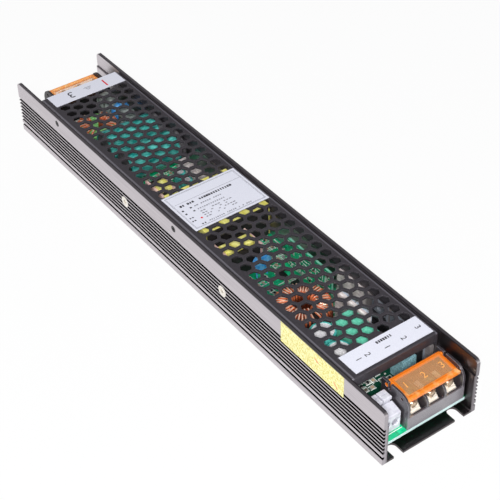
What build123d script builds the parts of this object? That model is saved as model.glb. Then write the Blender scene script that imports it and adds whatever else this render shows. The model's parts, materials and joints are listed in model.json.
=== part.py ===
from build123d import *
from math import sqrt, sin, radians
import os

# Slim mains power supply, millimetres.
# X runs along the case with the output terminals at +X, Y across, Z up.
# The origin is the middle of the case's underside.

# Housing extrusion
LENGTH = 313.0
WIDTH = 53.0
HEIGHT = 31.0
FLOOR = 1.2
UPPER_WALL = 1.9
LOWER_WALL = 2.5
LEDGE_Z = 22.4
END_CORNER_R = 2.5
INNER_CORNER_R = 0.9
GROOVE_COUNT = 7
GROOVE_PITCH = 2.23
GROOVE_WIDTH = 1.55
GROOVE_DEPTH = 1.0
TOP_GROOVE_Z = 20.8
FOOT_GROOVE_Z = 4.1
FOOT_GROOVE_WIDTH = 1.5
SLOT_WIDTH = 5.2
SLOT_DEPTH = 7.0
SLOT_SPACING = 34.7

# Perforated cover, folded from sheet
SHEET = 1.0
COVER_X = (-133.7, 132.5)
COVER_SIDE_GAP = 0.15
COVER_TOP_DROP = 0.8
COVER_BEND_R = 1.4
END_FLANGE = 5.4
END_FLANGE_GAP = 0.5
HEX_PITCH = 6.92
HEX_FLATS = 5.3
HEX_ROWS = 7
HEX_COLUMNS = 35
HEX_LAST_X = 116.0
HEX_MIDDLE_Y = 0.85

# Labels: stickers on the cover and one on the left wall
LABEL = 0.15
INPUT_LABEL_X = (-133.4, -122.3)
MIDDLE_LABEL_X = (-19.5, 11.2)
OUTPUT_LABEL_X = (118.7, 130.8)
LABEL_Y = (-20.6, 22.8)
STICKER = 0.1
STICKER_X = (86.0, 130.0)
STICKER_DROP = 0.3
STICKER_GAP = 0.5

# Fasteners
COVER_SCREW_X = (-112.5, 0.0, 112.5)
COVER_SCREW_DROP = 3.6
COVER_SCREW_HEAD_R = 1.75
COVER_SCREW_SHANK_R = 1.0
COVER_SCREW_PROUD = 0.5
WALL_SCREW_X = (-45.7, 40.2)
WALL_SCREW_Z = 15.8
WALL_SCREW_HEAD_R = 3.0
WALL_SCREW_SHANK_R = 1.45
NUT_FLATS = 5.5
NUT_HEIGHT = 2.2
WALL_SCREW_PROUD = 0.8
BOARD_SCREW_R = 1.2
BOARD_SCREW_HEAD_R = 2.5
BOARD_SCREW_HEAD = 1.7
STANDOFF_FLATS = 5.0
STANDOFF_BASE = 0.8
SCREW_TIP_GAP = 0.4
RUN_GAP = 0.05
FIT_GAP = 0.15
MOVE_GAP = 0.3

# Main board and the sheet under it
BOARD = 1.6
BOARD_Z = 5.1
BOARD_END_GAP = 4.2
BOARD_SIDE_GAP = 0.25
FILM = 0.4
FILM_MARGIN = 1.5
BOARD_HOLE_EDGE = 3.6
# Board screws: place along the case, and side
BOARD_SCREWS = [
    (-146.0, -1), (-131.0, 1), (-59.3, -1), (-59.3, 1), (52.5, -1), (62.0, 1), (126.0, -1),
]

# Screw terminal, drawn at the output end about y = 0
POLES = 3
POLE_PITCH = 10.2
END_PLATE = 1.1
DIVIDER = 1.0
BLOCK_MARGIN = 0.8
BLOCK_LENGTH = 18.0
BLOCK_TOP_Z = 24.6
BLOCK_NOSE_R = 6.5
BLOCK_BASE = 4.5
BLOCK_SILL = 7.0
BLOCK_SILL_THICK = 1.3
BLOCK_BACK = 13.6
BLOCK_BACK_THICK = 1.5
DIVIDER_TOP = 13.1
NOTCH_X = 5.4
NOTCH_WIDTH = 1.4
NOTCH_DEPTH = 3.8
INPUT_BLOCK_GAP = 4.9
# Shares of the spare width right of the output block and between it and the signal terminal
BLOCK_SHARE = 0.19
SIGNAL_SHARE = 0.17
CONTACT = 0.8
CONTACT_WIDTH = 7.0
PIN_WIDTH = 1.6
PIN_BELOW = 1.4
CLAMP_LENGTH = 6.4
CLAMP_WIDTH = 5.4
CLAMP_HEIGHT = 4.2
CLAMP_SHEET = 1.0
CLAMP_STEPS = 3
CLAMP_STEP = 0.8
POLE_SCREW_R = 1.7
POLE_SCREW_HEAD_R = 2.6
POLE_SCREW_HEAD = 2.2
POLE_SCREW_BACK = 4.9
POLE_BORE_FLOOR = 1.0

# Flip lid of a screw terminal
HINGE_BACK = 3.4
HINGE_DROP = 2.0
HINGE_PIN_R = 1.0
LID_SLOPE = 5.0
LID_REAR = 1.5
LID_REACH = 12.7
LID_TOP = 1.3
LID_PLATE = 1.0
LID_RIM = 1.2
LID_SKIRT = 0.9
LID_BEVEL = 0.7
LID_FRAME = 2.2
LID_STEP = 0.35
SNAP_X = 9.9
SNAP_R = 0.9

# Two-pole push-lever terminal
SIGNAL_PITCH = 5.0
SIGNAL_WIDTH = 10.0
SIGNAL_X = (134.6, 148.6)
SIGNAL_REAR = 7.1
SIGNAL_STEP_X = 142.6
SIGNAL_BROW = 11.1
SIGNAL_NOSE = 9.5
SIGNAL_EDGE = 0.4
ENTRY_R = 1.7
ENTRY_DEPTH = 6.0
ENTRY_HEIGHT = 4.6
ENTRY_FLARE = 0.6
ENTRY_FLARE_DEPTH = 0.8
LEVER_CAP_X = (137.6, 142.8)
LEVER_CAP_Z = (19.1, 21.0)
LEVER_GROOVE = 0.5
LEVER_SHOULDER_X = (139.0, 142.2)
LEVER_SHOULDER_Z = 14.8
LEVER_SHOULDER_INSET = 0.35
LEVER_GAP = 0.5
LEVER_PIVOT = (140.6, 12.4)
LEVER_FOOT_R = 1.4
LEVER_FOOT_WIDTH = 2.8
LEVER_PIN_R = 0.6
LEVER_PIN_BITE = 0.6
LEVER_NECK = 2.0
LEVER_EDGE = 0.4

# Parts on the board
LEAD_R = 0.4
LEAD_PITCH = 2.54
MOULD_EDGE = 0.5
BULK_R = 9.0
BULK_X = (-91.7, -71.3)
BULK_LENGTH = 32.8
BULK_GAP = 1.6
BULK_RISE = 0.6
BULK_SHOULDER = 1.2
BULK_GROOVE_Y = 3.0
BULK_GROOVE = 1.2
BULK_GROOVE_DEPTH = 0.8
BULK_LEAD_PITCH = 7.5
SLEEVE = 0.3
CAN_RISE = 0.4
CAN_SHOULDER = 0.7
CAN_RIM = 1.1
VENT = 0.35
RING_EDGE = 1.0
CHOKE_AT = (-113.5, -2.0)
CHOKE_R = (5.6, 10.2)
CHOKE_HEIGHT = 9.0
CHOKE_WIRE = 1.3
TURN_GAP = 0.05
CHOKE_TURNS = 9
CHOKE_TURN_STEP = 15.0
CHOKE_TURNED = 35.0
STORAGE_AT = (73.0, -4.5)
STORAGE_R = (6.8, 13.4)
STORAGE_HEIGHT = 11.5
STORAGE_WIRE = 1.55
STORAGE_TURNS = 36
STORAGE_STEP = 360 / STORAGE_TURNS
OUTPUT_CAPS = [(97.6, -12.0), (111.4, -13.6)]
OUTPUT_CAP_R = 6.25
OUTPUT_CAP_HEIGHT = 18.6
DRIVER_CAPS = [(-46.0, 7.4), (-38.4, 6.6)]
DRIVER_CAP_R = 3.15
DRIVER_CAP_HEIGHT = 12.5
FILM_CAP_X = (94.0, 115.0)
FILM_CAP_Y = (-4.9, 7.6)
FILM_CAP_HEIGHT = 18.8
FILTER_CAP_X = (121.5, 130.0)
FILTER_CAP_Y = (7.0, 15.0)
FILTER_CAP_HEIGHT = 12.6
BOX_EDGE = 0.4
BOX_FOOT = 0.5
BOX_FOOT_INSET = 0.6
BOX_FOOT_WIDTH = 1.2
LINE_CAPS_X = [(-133.4, -123.4), (-113.4, -102.4)]
LINE_CAPS_Y = [(9.4, 16.2), (11.2, 18.2)]
LINE_CAP_HEIGHT = 13.6
VARISTOR_AT = (-118.0, 15.6)
VARISTOR_R = 5.6
VARISTOR_THICK = 3.6
SAFETY_CAP_AT = (34.0, 1.2)
SAFETY_CAP_R = 5.2
SAFETY_CAP_THICK = 3.4
DISC_RISE = 3.4
FUSE_X = -129.0
FUSE_Y = (-17.0, 3.0)
FUSE_R = 2.6
FUSE_CAP = 5.0
FUSE_CAP_WALL = 0.25
FUSE_RISE = 0.3
FUSE_BEND = 1.5
BRIDGE_X = (-93.0, -71.0)
BRIDGE_GAP = 4.2
BRIDGE_THICK = 3.6
BRIDGE_HEIGHT = 16.5
BRIDGE_CORNER = 2.0
BRIDGE_HOLE_R = 1.6
BRIDGE_HOLE_DROP = 4.0
BRIDGE_LEADS = (-7.5, -2.5, 2.5, 7.5)
BRIDGE_LEAD_R = 0.6
LEAD_STAND = 2.2
CORE_X = (-26.0, 12.0)
CORE_GAP = 1.8
CORE_WIDTH = 37.0
CORE_HEADROOM = 2.55
CORE_RISE = 1.4
CORE_LEG = 6.2
CORE_BACK = 5.6
CORE_EDGE = 0.8
COIL_DROP = 0.3
COIL_EDGE = 1.0
TAPE = 0.35
TAPE_INSET = 0.4
SECOND_X = (16.0, 30.4)
SECOND_Y = (-15.6, 4.4)
SECOND_HEIGHT = 16.4
SMALL_LEG = 3.8
SMALL_FLANGE = 1.3
SMALL_COIL_RISE = 2.4
SMALL_COIL_CROWN = 0.8
SMALL_COIL_EDGE = 1.2
SMALL_CORE_RISE = 1.6
SMALL_CORE_DROP = 1.4
SMALL_CORE_EDGE = 0.4
AUX_X = (-46.0, -30.4)
AUX_Y = (-13.6, -3.6)
AUX_HEIGHT = 16.0
CARD_X = (33.0, 69.0)
CARD_Y = 16.5
CARD_HEIGHT = 17.0
CARD = 1.2
SPREADER_X = (79.0, 102.0)
DEVICE_GAP = 0.65
SPREADER = 2.0
SPREADER_HEIGHT = 17.8
WALL_BAR_X = (66.0, 131.0)
WALL_BAR = 2.2
WALL_BAR_HEIGHT = 15.0
DEVICE_WIDTH = 10.0
DEVICE_BODY = 9.2
DEVICE_THICK = 3.2
TAB_HEIGHT = 15.4
TAB = 1.3
TAB_RISE = 0.4
TAB_HOLE_R = 1.8
TAB_HOLE_DROP = 2.8
PLATE_EDGE = 0.3
SPREADER_DEVICES_X = (84.6, 96.2)
WALL_DEVICES_X = (98.0, 110.5, 123.0)
SINK_X = (-54.6, -35.4)
SINK_Y = (12.0, 18.6)
SINK_HEIGHT = 13.0
SINK_BASE = 1.6
SINK_FINS = 4
SINK_FIN = 1.1
TRANSISTOR_HEIGHT = 11.0
TRANSISTOR_THICK = 3.2
TRANSISTOR_HOLE_DROP = 3.2
PAD = 0.3
PAD_MARGIN = 1.0
CHIP_EDGE = 0.25
# Surface-mount packages: x, y, length, width, height
CHIPS = [
    (40.0, 8.6, 5.0, 4.0, 1.5), (50.5, 10.4, 6.2, 4.0, 1.6), (44.0, -8.0, 5.0, 4.0, 1.5),
    (36.5, 12.2, 3.0, 2.6, 1.1), (53.6, 1.6, 3.0, 3.0, 1.2), (-53.0, 1.0, 5.0, 4.0, 1.5),
]

# Places and sizes that follow from the values above
COVER_TOP = HEIGHT - COVER_TOP_DROP
COVER_SCREW_Z = HEIGHT - COVER_SCREW_DROP
BOARD_TOP = BOARD_Z + BOARD
INNER_Y = WIDTH / 2 - LOWER_WALL
UPPER_Y = WIDTH / 2 - UPPER_WALL
BOARD_END = LENGTH / 2 - BOARD_END_GAP
BOARD_SIDE = INNER_Y - BOARD_SIDE_GAP
STANDOFFS = [(x, side * (BOARD_SIDE - BOARD_HOLE_EDGE)) for x, side in BOARD_SCREWS]
BLOCK_WIDTH = POLES * POLE_PITCH + 2 * BLOCK_MARGIN
SPARE_WIDTH = 2 * INNER_Y - BLOCK_WIDTH - SIGNAL_WIDTH
OUTPUT_BLOCK_Y = INNER_Y - SPARE_WIDTH * BLOCK_SHARE - BLOCK_WIDTH / 2
INPUT_BLOCK_Y = INNER_Y - INPUT_BLOCK_GAP - BLOCK_WIDTH / 2
SIGNAL_Y = OUTPUT_BLOCK_Y - BLOCK_WIDTH / 2 - SPARE_WIDTH * SIGNAL_SHARE - SIGNAL_WIDTH / 2
BULK_Y = (INNER_Y - BULK_GAP - BULK_LENGTH, INNER_Y - BULK_GAP)
BRIDGE_Y = (BRIDGE_GAP - INNER_Y, BRIDGE_GAP + BRIDGE_THICK - INNER_Y)
CORE_Y = (INNER_Y - CORE_GAP - CORE_WIDTH, INNER_Y - CORE_GAP)
CORE_HEIGHT = COVER_TOP - SHEET - CORE_HEADROOM - TAPE - CORE_RISE - BOARD_TOP
WALL_BAR_FACE = BOARD_SIDE - WALL_BAR
SPREADER_FACE = WALL_BAR_FACE - 2 * (TAB + DEVICE_THICK) - DEVICE_GAP
BLOCK_FRONT = BOARD_END
BLOCK_REAR = BLOCK_FRONT - BLOCK_LENGTH
HINGE_X = BLOCK_REAR + HINGE_BACK
HINGE_Z = BLOCK_TOP_Z - HINGE_DROP
SEAT_Z = BOARD_TOP + BLOCK_BASE
POLE_Y = [(i - (POLES - 1) / 2) * POLE_PITCH for i in range(POLES)]
POLE_SCREW_X = BLOCK_FRONT - POLE_SCREW_BACK
CONTACT_X = (BLOCK_REAR + BLOCK_BACK_THICK + 2 * FIT_GAP, BLOCK_FRONT - BLOCK_SILL_THICK - FIT_GAP)


def block(x, y, z):
    """Box between pairs of limits."""
    size = [abs(pair[1] - pair[0]) for pair in (x, y, z)]
    middle = [(pair[0] + pair[1]) / 2 for pair in (x, y, z)]
    return Pos(*middle) * Box(*size)


def centred(middle, size):
    """Pair of limits about a middle."""
    return (middle - size / 2, middle + size / 2)


def lead_row(x):
    """Places of a power device's three leads."""
    return [x + i * LEAD_PITCH for i in (-1, 0, 1)]


def post(x, y, z, radius):
    """Upright round bar between two heights."""
    return Pos(x, y, (z[0] + z[1]) / 2) * Cylinder(radius, abs(z[1] - z[0]))


def bar_y(x, z, y, radius):
    """Round bar across the case between two y values."""
    return Pos(x, (y[0] + y[1]) / 2, z) * Rot(90, 0, 0) * Cylinder(radius, abs(y[1] - y[0]))


def side_profile(points, y):
    """Prism across the case from an outline of (x, z) points."""
    face = make_face(Polyline(*[(px, 0, pz) for px, pz in points], close=True))
    return Pos(0, (y[0] + y[1]) / 2, 0) * extrude(face, abs(y[1] - y[0]) / 2, dir=(0, 1, 0), both=True)


def hex_post(x, y, z, flats):
    """Upright hexagonal bar."""
    face = RegularPolygon(flats / 2, 6, major_radius=False)
    return Pos(x, y, min(z)) * extrude(face, abs(z[1] - z[0]))


def channel_section():
    """Section of the housing: a U with a ledge inside and grooves outside."""
    section = Pos(0, HEIGHT / 2) * Rectangle(WIDTH, HEIGHT)
    lower = Pos(0, (FLOOR + LEDGE_Z) / 2) * Rectangle(2 * INNER_Y, LEDGE_Z - FLOOR)
    lower = fillet(lower.vertices().sort_by(Axis.Y)[:2], INNER_CORNER_R)
    upper = Pos(0, (LEDGE_Z + HEIGHT) / 2) * Rectangle(2 * UPPER_Y, HEIGHT - LEDGE_Z)
    section = section - lower - upper
    grooves = [(TOP_GROOVE_Z - i * GROOVE_PITCH, GROOVE_WIDTH) for i in range(GROOVE_COUNT)]
    grooves.append((FOOT_GROOVE_Z, FOOT_GROOVE_WIDTH))
    for z, width in grooves:
        cut = Rectangle(2 * GROOVE_DEPTH, width)
        section -= Pos(WIDTH / 2, z) * cut
        section -= Pos(-WIDTH / 2, z) * cut
    return section


def countersink(x, z, head_r, shank_r, side):
    """Cone and bore of a countersunk hole in a side wall."""
    depth = head_r - shank_r
    wall_y = side * WIDTH / 2
    cone = Pos(x, wall_y - side * depth / 2, z) * Rot(side * -90, 0, 0) * Cone(shank_r, head_r, depth)
    bore = bar_y(x, z, (wall_y, wall_y - side * (LOWER_WALL + 1)), shank_r)
    return cone + bore


def housing():
    channel = extrude(Plane.YZ.offset(-LENGTH / 2) * channel_section(), LENGTH)
    side = Pos(0, HEIGHT / 2) * Rectangle(LENGTH, HEIGHT)
    side = fillet(side.vertices().sort_by(Axis.Y)[-2:], END_CORNER_R)
    channel &= extrude(Plane.XZ * side, WIDTH, both=True)
    slot_centre = LENGTH / 2 - SLOT_DEPTH + SLOT_WIDTH / 2
    for end in (-1, 1):
        for side_y in (-SLOT_SPACING / 2, SLOT_SPACING / 2):
            channel -= post(end * slot_centre, side_y, (-1, FLOOR + 1), SLOT_WIDTH / 2)
            channel -= block(
                (end * slot_centre, end * (LENGTH / 2 + 1)),
                (side_y - SLOT_WIDTH / 2, side_y + SLOT_WIDTH / 2),
                (-1, FLOOR + 1),
            )
    for x in COVER_SCREW_X:
        for end in (-1, 1):
            channel -= countersink(
                x, COVER_SCREW_Z, COVER_SCREW_HEAD_R + RUN_GAP, COVER_SCREW_SHANK_R + RUN_GAP, end
            )
    for x in WALL_SCREW_X:
        channel -= countersink(
            x, WALL_SCREW_Z, WALL_SCREW_HEAD_R + RUN_GAP, WALL_SCREW_SHANK_R + RUN_GAP, -1
        )
    return channel


def hex_holes():
    """Honeycomb of holes: rows along X, every other row shifted by half a pitch."""
    holes = []
    for row in range(HEX_ROWS):
        y = HEX_MIDDLE_Y + (row - (HEX_ROWS - 1) / 2) * HEX_PITCH * sqrt(3) / 2
        shift = HEX_PITCH / 2 * (row % 2)
        for column in range(HEX_COLUMNS):
            hole = RegularPolygon(HEX_FLATS / 2, 6, major_radius=False, rotation=30)
            holes.append(Pos(HEX_LAST_X - shift - column * HEX_PITCH, y) * hole)
    return Pos(0, 0, COVER_TOP - 2 * SHEET) * extrude(Sketch() + holes, 3 * SHEET)


def perforated_cover():
    outer_y = UPPER_Y - COVER_SIDE_GAP
    depth = COVER_TOP - LEDGE_Z
    outer = Pos(0, LEDGE_Z + depth / 2) * Rectangle(2 * outer_y, depth)
    outer = fillet(outer.vertices().sort_by(Axis.Y)[-2:], COVER_BEND_R)
    inner = Pos(0, LEDGE_Z + (depth - SHEET) / 2) * Rectangle(2 * (outer_y - SHEET), depth - SHEET)
    inner = fillet(inner.vertices().sort_by(Axis.Y)[-2:], max(COVER_BEND_R - SHEET, 0.1))
    run = COVER_X[1] - COVER_X[0]
    cover = extrude(Plane.YZ.offset(COVER_X[0]) * (outer - inner), run)
    flange_y = outer_y - SHEET - END_FLANGE_GAP
    for x, inward in ((COVER_X[0], 1), (COVER_X[1], -1)):
        flange = block(
            (x, x + inward * SHEET), (-flange_y, flange_y), (COVER_TOP - END_FLANGE, COVER_TOP - SHEET / 2)
        )
        cover += flange
    ends = [
        edge
        for edge in cover.edges().filter_by(Axis.Y).group_by(Axis.Z)[-1]
        if min(abs(edge.center().X - x) for x in COVER_X) < SHEET / 2
    ]
    cover = fillet(ends, min(COVER_BEND_R, SHEET) * 0.9)
    cover -= hex_holes()
    for x in COVER_SCREW_X:
        cover -= bar_y(x, COVER_SCREW_Z, (-WIDTH, WIDTH), COVER_SCREW_SHANK_R + RUN_GAP)
    return cover


def flat_head_screw(x, z, head_r, shank_r, length, side):
    """Countersunk screw through a side wall, flush with the outside."""
    depth = head_r - shank_r
    wall_y = side * WIDTH / 2
    head = Pos(x, wall_y - side * depth / 2, z) * Rot(side * -90, 0, 0) * Cone(shank_r, head_r, depth)
    shank = bar_y(x, z, (wall_y - side * depth / 2, wall_y - side * length), shank_r)
    recess = head_r * 0.45
    driver = Pos(x, wall_y, z) * Box(2 * recess, depth * 0.9, recess * 0.5)
    driver += Pos(x, wall_y, z) * Box(recess * 0.5, depth * 0.9, 2 * recess)
    return head + shank - driver


def cover_screws():
    length = UPPER_WALL + COVER_SIDE_GAP + SHEET + COVER_SCREW_PROUD
    return [
        flat_head_screw(x, COVER_SCREW_Z, COVER_SCREW_HEAD_R, COVER_SCREW_SHANK_R, length, side)
        for x in COVER_SCREW_X
        for side in (-1, 1)
    ]


def transistor_inner_y():
    return -(INNER_Y - PAD - TRANSISTOR_THICK)


def wall_screws():
    length = WIDTH / 2 + transistor_inner_y() + NUT_HEIGHT + WALL_SCREW_PROUD
    return [
        flat_head_screw(x, WALL_SCREW_Z, WALL_SCREW_HEAD_R, WALL_SCREW_SHANK_R, length, -1)
        for x in WALL_SCREW_X
    ]


def wall_transistor(x):
    """Power transistor held flat on the left wall by its screw."""
    top = WALL_SCREW_Z + TRANSISTOR_HOLE_DROP
    inner = transistor_inner_y()
    z = (top - TRANSISTOR_HEIGHT, top)
    body = block(centred(x, DEVICE_WIDTH), (inner - TRANSISTOR_THICK, inner), z)
    body = chamfer(body.edges().filter_by(Axis.X).sort_by(Axis.Y)[-2:], MOULD_EDGE)
    body -= bar_y(x, WALL_SCREW_Z, (-WIDTH, 0), WALL_SCREW_SHANK_R + FIT_GAP)
    for lead_x in lead_row(x):
        body += post(lead_x, inner - TRANSISTOR_THICK / 2, (BOARD_Z - PIN_BELOW, z[0]), LEAD_R)
    return body


def wall_transistor_pad(x):
    """Grey insulating pad between a transistor and the wall."""
    top = WALL_SCREW_Z + TRANSISTOR_HOLE_DROP
    z = (top - TRANSISTOR_HEIGHT, top + PAD_MARGIN)
    pad = block(centred(x, DEVICE_WIDTH + 2 * PAD_MARGIN), (-INNER_Y, -INNER_Y + PAD), z)
    return pad - bar_y(x, WALL_SCREW_Z, (-WIDTH, 0), WALL_SCREW_SHANK_R + FIT_GAP)


def wall_nut(x):
    face = RegularPolygon(NUT_FLATS / 2, 6, major_radius=False) - Circle(WALL_SCREW_SHANK_R + RUN_GAP)
    nut = extrude(face, NUT_HEIGHT)
    return Pos(x, transistor_inner_y(), WALL_SCREW_Z) * Rot(-90, 0, 0) * nut


def end_places(points):
    """Places of terminal pins at both ends of the board."""
    places = [(x, y + OUTPUT_BLOCK_Y) for x, y in points]
    places += [(-x, INPUT_BLOCK_Y - y) for x, y in points]
    return places


def contact_pins():
    return [(CONTACT_X[0] + CONTACT / 2, y) for y in POLE_Y]


def main_board():
    board = block((-BOARD_END, BOARD_END), (-BOARD_SIDE, BOARD_SIDE), (BOARD_Z, BOARD_TOP))
    through = (BOARD_Z - 1, BOARD_TOP + 1)
    for x, y in STANDOFFS:
        board -= post(x, y, through, BOARD_SCREW_R + FIT_GAP)
    for x, y in end_places(contact_pins()):
        board -= block(centred(x, CONTACT + 2 * FIT_GAP), centred(y, PIN_WIDTH + 2 * FIT_GAP), through)
    for x in WALL_SCREW_X:
        for lead_x in lead_row(x):
            board -= post(lead_x, transistor_inner_y() - TRANSISTOR_THICK / 2, through, LEAD_R + FIT_GAP)
    return board


def standoff(x, y):
    body = hex_post(x, y, (FLOOR + FILM, BOARD_Z), STANDOFF_FLATS)
    return body - post(x, y, (FLOOR + FILM + STANDOFF_BASE, BOARD_Z + 1), BOARD_SCREW_R + RUN_GAP)


def cross_slot(x, y, top, head_r, depth):
    """Cross recess in the top of a screw's head."""
    width = head_r * 0.28
    arm = Pos(x, y, top) * Box(head_r * 1.4, width, 2 * depth)
    return arm + Pos(x, y, top) * Box(width, head_r * 1.4, 2 * depth)


def board_screw(x, y):
    head = post(x, y, (BOARD_TOP, BOARD_TOP + BOARD_SCREW_HEAD), BOARD_SCREW_HEAD_R)
    head = fillet(head.edges().sort_by(Axis.Z)[-1], BOARD_SCREW_HEAD * 0.45)
    tip = FLOOR + FILM + STANDOFF_BASE + SCREW_TIP_GAP
    shank = post(x, y, (tip, BOARD_TOP + BOARD_SCREW_HEAD / 2), BOARD_SCREW_R)
    top = BOARD_TOP + BOARD_SCREW_HEAD
    return head + shank - cross_slot(x, y, top, BOARD_SCREW_HEAD_R, BOARD_SCREW_HEAD / 3)


def insulation_sheet():
    """Film on the floor that keeps the board's pins off the metal."""
    half_x = LENGTH / 2 - SLOT_DEPTH - FILM_MARGIN
    half_y = INNER_Y - INNER_CORNER_R
    return block((-half_x, half_x), (-half_y, half_y), (FLOOR, FLOOR + FILM))


def terminal_body():
    """Moulded barrier block: base, sill, back wall, dividers and end plates."""
    x = (BLOCK_REAR, BLOCK_FRONT)
    inner_y = BLOCK_WIDTH / 2 - END_PLATE
    body = block(x, (-inner_y, inner_y), (BOARD_TOP, SEAT_Z))
    sill_x = (BLOCK_FRONT - BLOCK_SILL_THICK, BLOCK_FRONT)
    body += block(sill_x, (-inner_y, inner_y), (BOARD_TOP, BOARD_TOP + BLOCK_SILL))
    back_x = (BLOCK_REAR, BLOCK_REAR + BLOCK_BACK_THICK)
    body += block(back_x, (-inner_y, inner_y), (BOARD_TOP, BOARD_TOP + BLOCK_BACK))
    divider = Pos((x[0] + x[1]) / 2, BOARD_TOP + DIVIDER_TOP / 2) * Rectangle(BLOCK_LENGTH, DIVIDER_TOP)
    divider = fillet(divider.vertices().group_by(Axis.X)[-1].sort_by(Axis.Y)[-1:], BLOCK_NOSE_R * 0.6)
    for i in range(POLES - 1):
        y = (POLE_Y[i] + POLE_Y[i + 1]) / 2
        body += Pos(0, y, 0) * extrude(Plane.XZ * divider, DIVIDER / 2, both=True)
    height = BLOCK_TOP_Z - BOARD_TOP
    plate = Pos((x[0] + x[1]) / 2, BOARD_TOP + height / 2) * Rectangle(BLOCK_LENGTH, height)
    plate = fillet(plate.vertices().group_by(Axis.X)[-1].sort_by(Axis.Y)[-1:], BLOCK_NOSE_R)
    plate -= Pos(BLOCK_REAR + NOTCH_X, BLOCK_TOP_Z - NOTCH_DEPTH / 2) * Rectangle(NOTCH_WIDTH, NOTCH_DEPTH)
    plate -= Pos(HINGE_X, HINGE_Z) * Circle(HINGE_PIN_R + RUN_GAP)
    plate -= Pos(HINGE_X + SNAP_X, HINGE_Z - SNAP_X * sin(radians(LID_SLOPE))) * Circle(SNAP_R)
    for side in (-1, 1):
        y = side * (BLOCK_WIDTH - END_PLATE) / 2
        body += Pos(0, y, 0) * extrude(Plane.XZ * plate, END_PLATE / 2, both=True)
    for px, py in contact_pins():
        body -= block(
            centred(px, CONTACT + 2 * FIT_GAP),
            centred(py, PIN_WIDTH + 2 * FIT_GAP),
            (BOARD_TOP - 1, SEAT_Z + 1),
        )
    for y in POLE_Y:
        body -= post(POLE_SCREW_X, y, (BOARD_TOP + POLE_BORE_FLOOR, SEAT_Z + 1), POLE_SCREW_R + FIT_GAP)
    return body


def terminal_contact(y):
    """Plated strip on the cell's floor with its solder pin."""
    strip = block(CONTACT_X, (y - CONTACT_WIDTH / 2, y + CONTACT_WIDTH / 2), (SEAT_Z, SEAT_Z + CONTACT))
    strip -= post(POLE_SCREW_X, y, (SEAT_Z - 1, SEAT_Z + 2), POLE_SCREW_R + FIT_GAP)
    pin_x = (CONTACT_X[0], CONTACT_X[0] + CONTACT)
    return strip + block(pin_x, centred(y, PIN_WIDTH), (BOARD_Z - PIN_BELOW, SEAT_Z))


def terminal_clamp(y):
    """Wire clamp: a plate on a rear leg, stepped down to its toothed front edge."""
    floor = SEAT_Z + CONTACT
    rear = POLE_SCREW_X - CLAMP_LENGTH / 2
    front = POLE_SCREW_X + CLAMP_LENGTH / 2
    top = floor + CLAMP_HEIGHT
    outline = [(rear, floor), (rear, top), (front - CLAMP_STEPS * CLAMP_STEP, top)]
    for step in range(1, CLAMP_STEPS + 1):
        x = front - (CLAMP_STEPS - step + 1) * CLAMP_STEP
        outline.append((x, top - step * CLAMP_STEP))
        outline.append((x + CLAMP_STEP, top - step * CLAMP_STEP))
    tooth = top - CLAMP_STEPS * CLAMP_STEP - CLAMP_SHEET
    outline.append((front, tooth))
    outline.append((front - CLAMP_STEP, tooth))
    outline.append((front - CLAMP_STEPS * CLAMP_STEP - CLAMP_SHEET / 2, top - CLAMP_SHEET))
    outline.append((rear + CLAMP_SHEET, top - CLAMP_SHEET))
    outline.append((rear + CLAMP_SHEET, floor))
    clamp = side_profile(outline, centred(y, CLAMP_WIDTH))
    return clamp - post(POLE_SCREW_X, y, (floor, floor + 2 * CLAMP_HEIGHT), POLE_SCREW_R + FIT_GAP)


def terminal_screw(y):
    seat = SEAT_Z + CONTACT + CLAMP_HEIGHT
    head = post(POLE_SCREW_X, y, (seat, seat + POLE_SCREW_HEAD), POLE_SCREW_HEAD_R)
    head = fillet(head.edges().sort_by(Axis.Z)[-1], POLE_SCREW_HEAD * 0.4)
    tip = BOARD_TOP + POLE_BORE_FLOOR + SCREW_TIP_GAP
    shank = post(POLE_SCREW_X, y, (tip, seat + POLE_SCREW_HEAD / 2), POLE_SCREW_R)
    top = seat + POLE_SCREW_HEAD
    return head + shank - cross_slot(POLE_SCREW_X, y, top, POLE_SCREW_HEAD_R, POLE_SCREW_HEAD / 2)


def terminal_lid():
    """Clear lid: a shallow tray with a raised, bevelled frame and two hinge pins."""
    half_y = BLOCK_WIDTH / 2 - END_PLATE - MOVE_GAP
    x = (-LID_REAR, LID_REACH)
    tray = block(x, (-half_y, half_y), (-LID_SKIRT, LID_TOP))
    tray = chamfer(tray.faces().sort_by(Axis.Z)[-1].edges(), LID_BEVEL)
    tray -= block(
        (x[0] + LID_FRAME, x[1] - LID_FRAME),
        (-half_y + LID_FRAME, half_y - LID_FRAME),
        (LID_TOP - LID_STEP, LID_TOP + LID_STEP),
    )
    tray -= block(
        (x[0] + LID_RIM, x[1] - LID_RIM),
        (-half_y + LID_RIM, half_y - LID_RIM),
        (-LID_SKIRT - 1, LID_TOP - LID_PLATE),
    )
    pin_end = BLOCK_WIDTH / 2 - RUN_GAP
    for side in (-1, 1):
        tray += bar_y(0, 0, (side * (half_y - LID_RIM), side * pin_end), HINGE_PIN_R)
    return Pos(HINGE_X, 0, HINGE_Z) * Rot(0, LID_SLOPE, 0) * tray


def at_output(part):
    return Pos(0, OUTPUT_BLOCK_Y, 0) * part


def at_input(part):
    return Pos(0, INPUT_BLOCK_Y, 0) * Rot(0, 0, 180) * part


def signal_poles():
    return [SIGNAL_Y - SIGNAL_PITCH / 2, SIGNAL_Y + SIGNAL_PITCH / 2]


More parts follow.
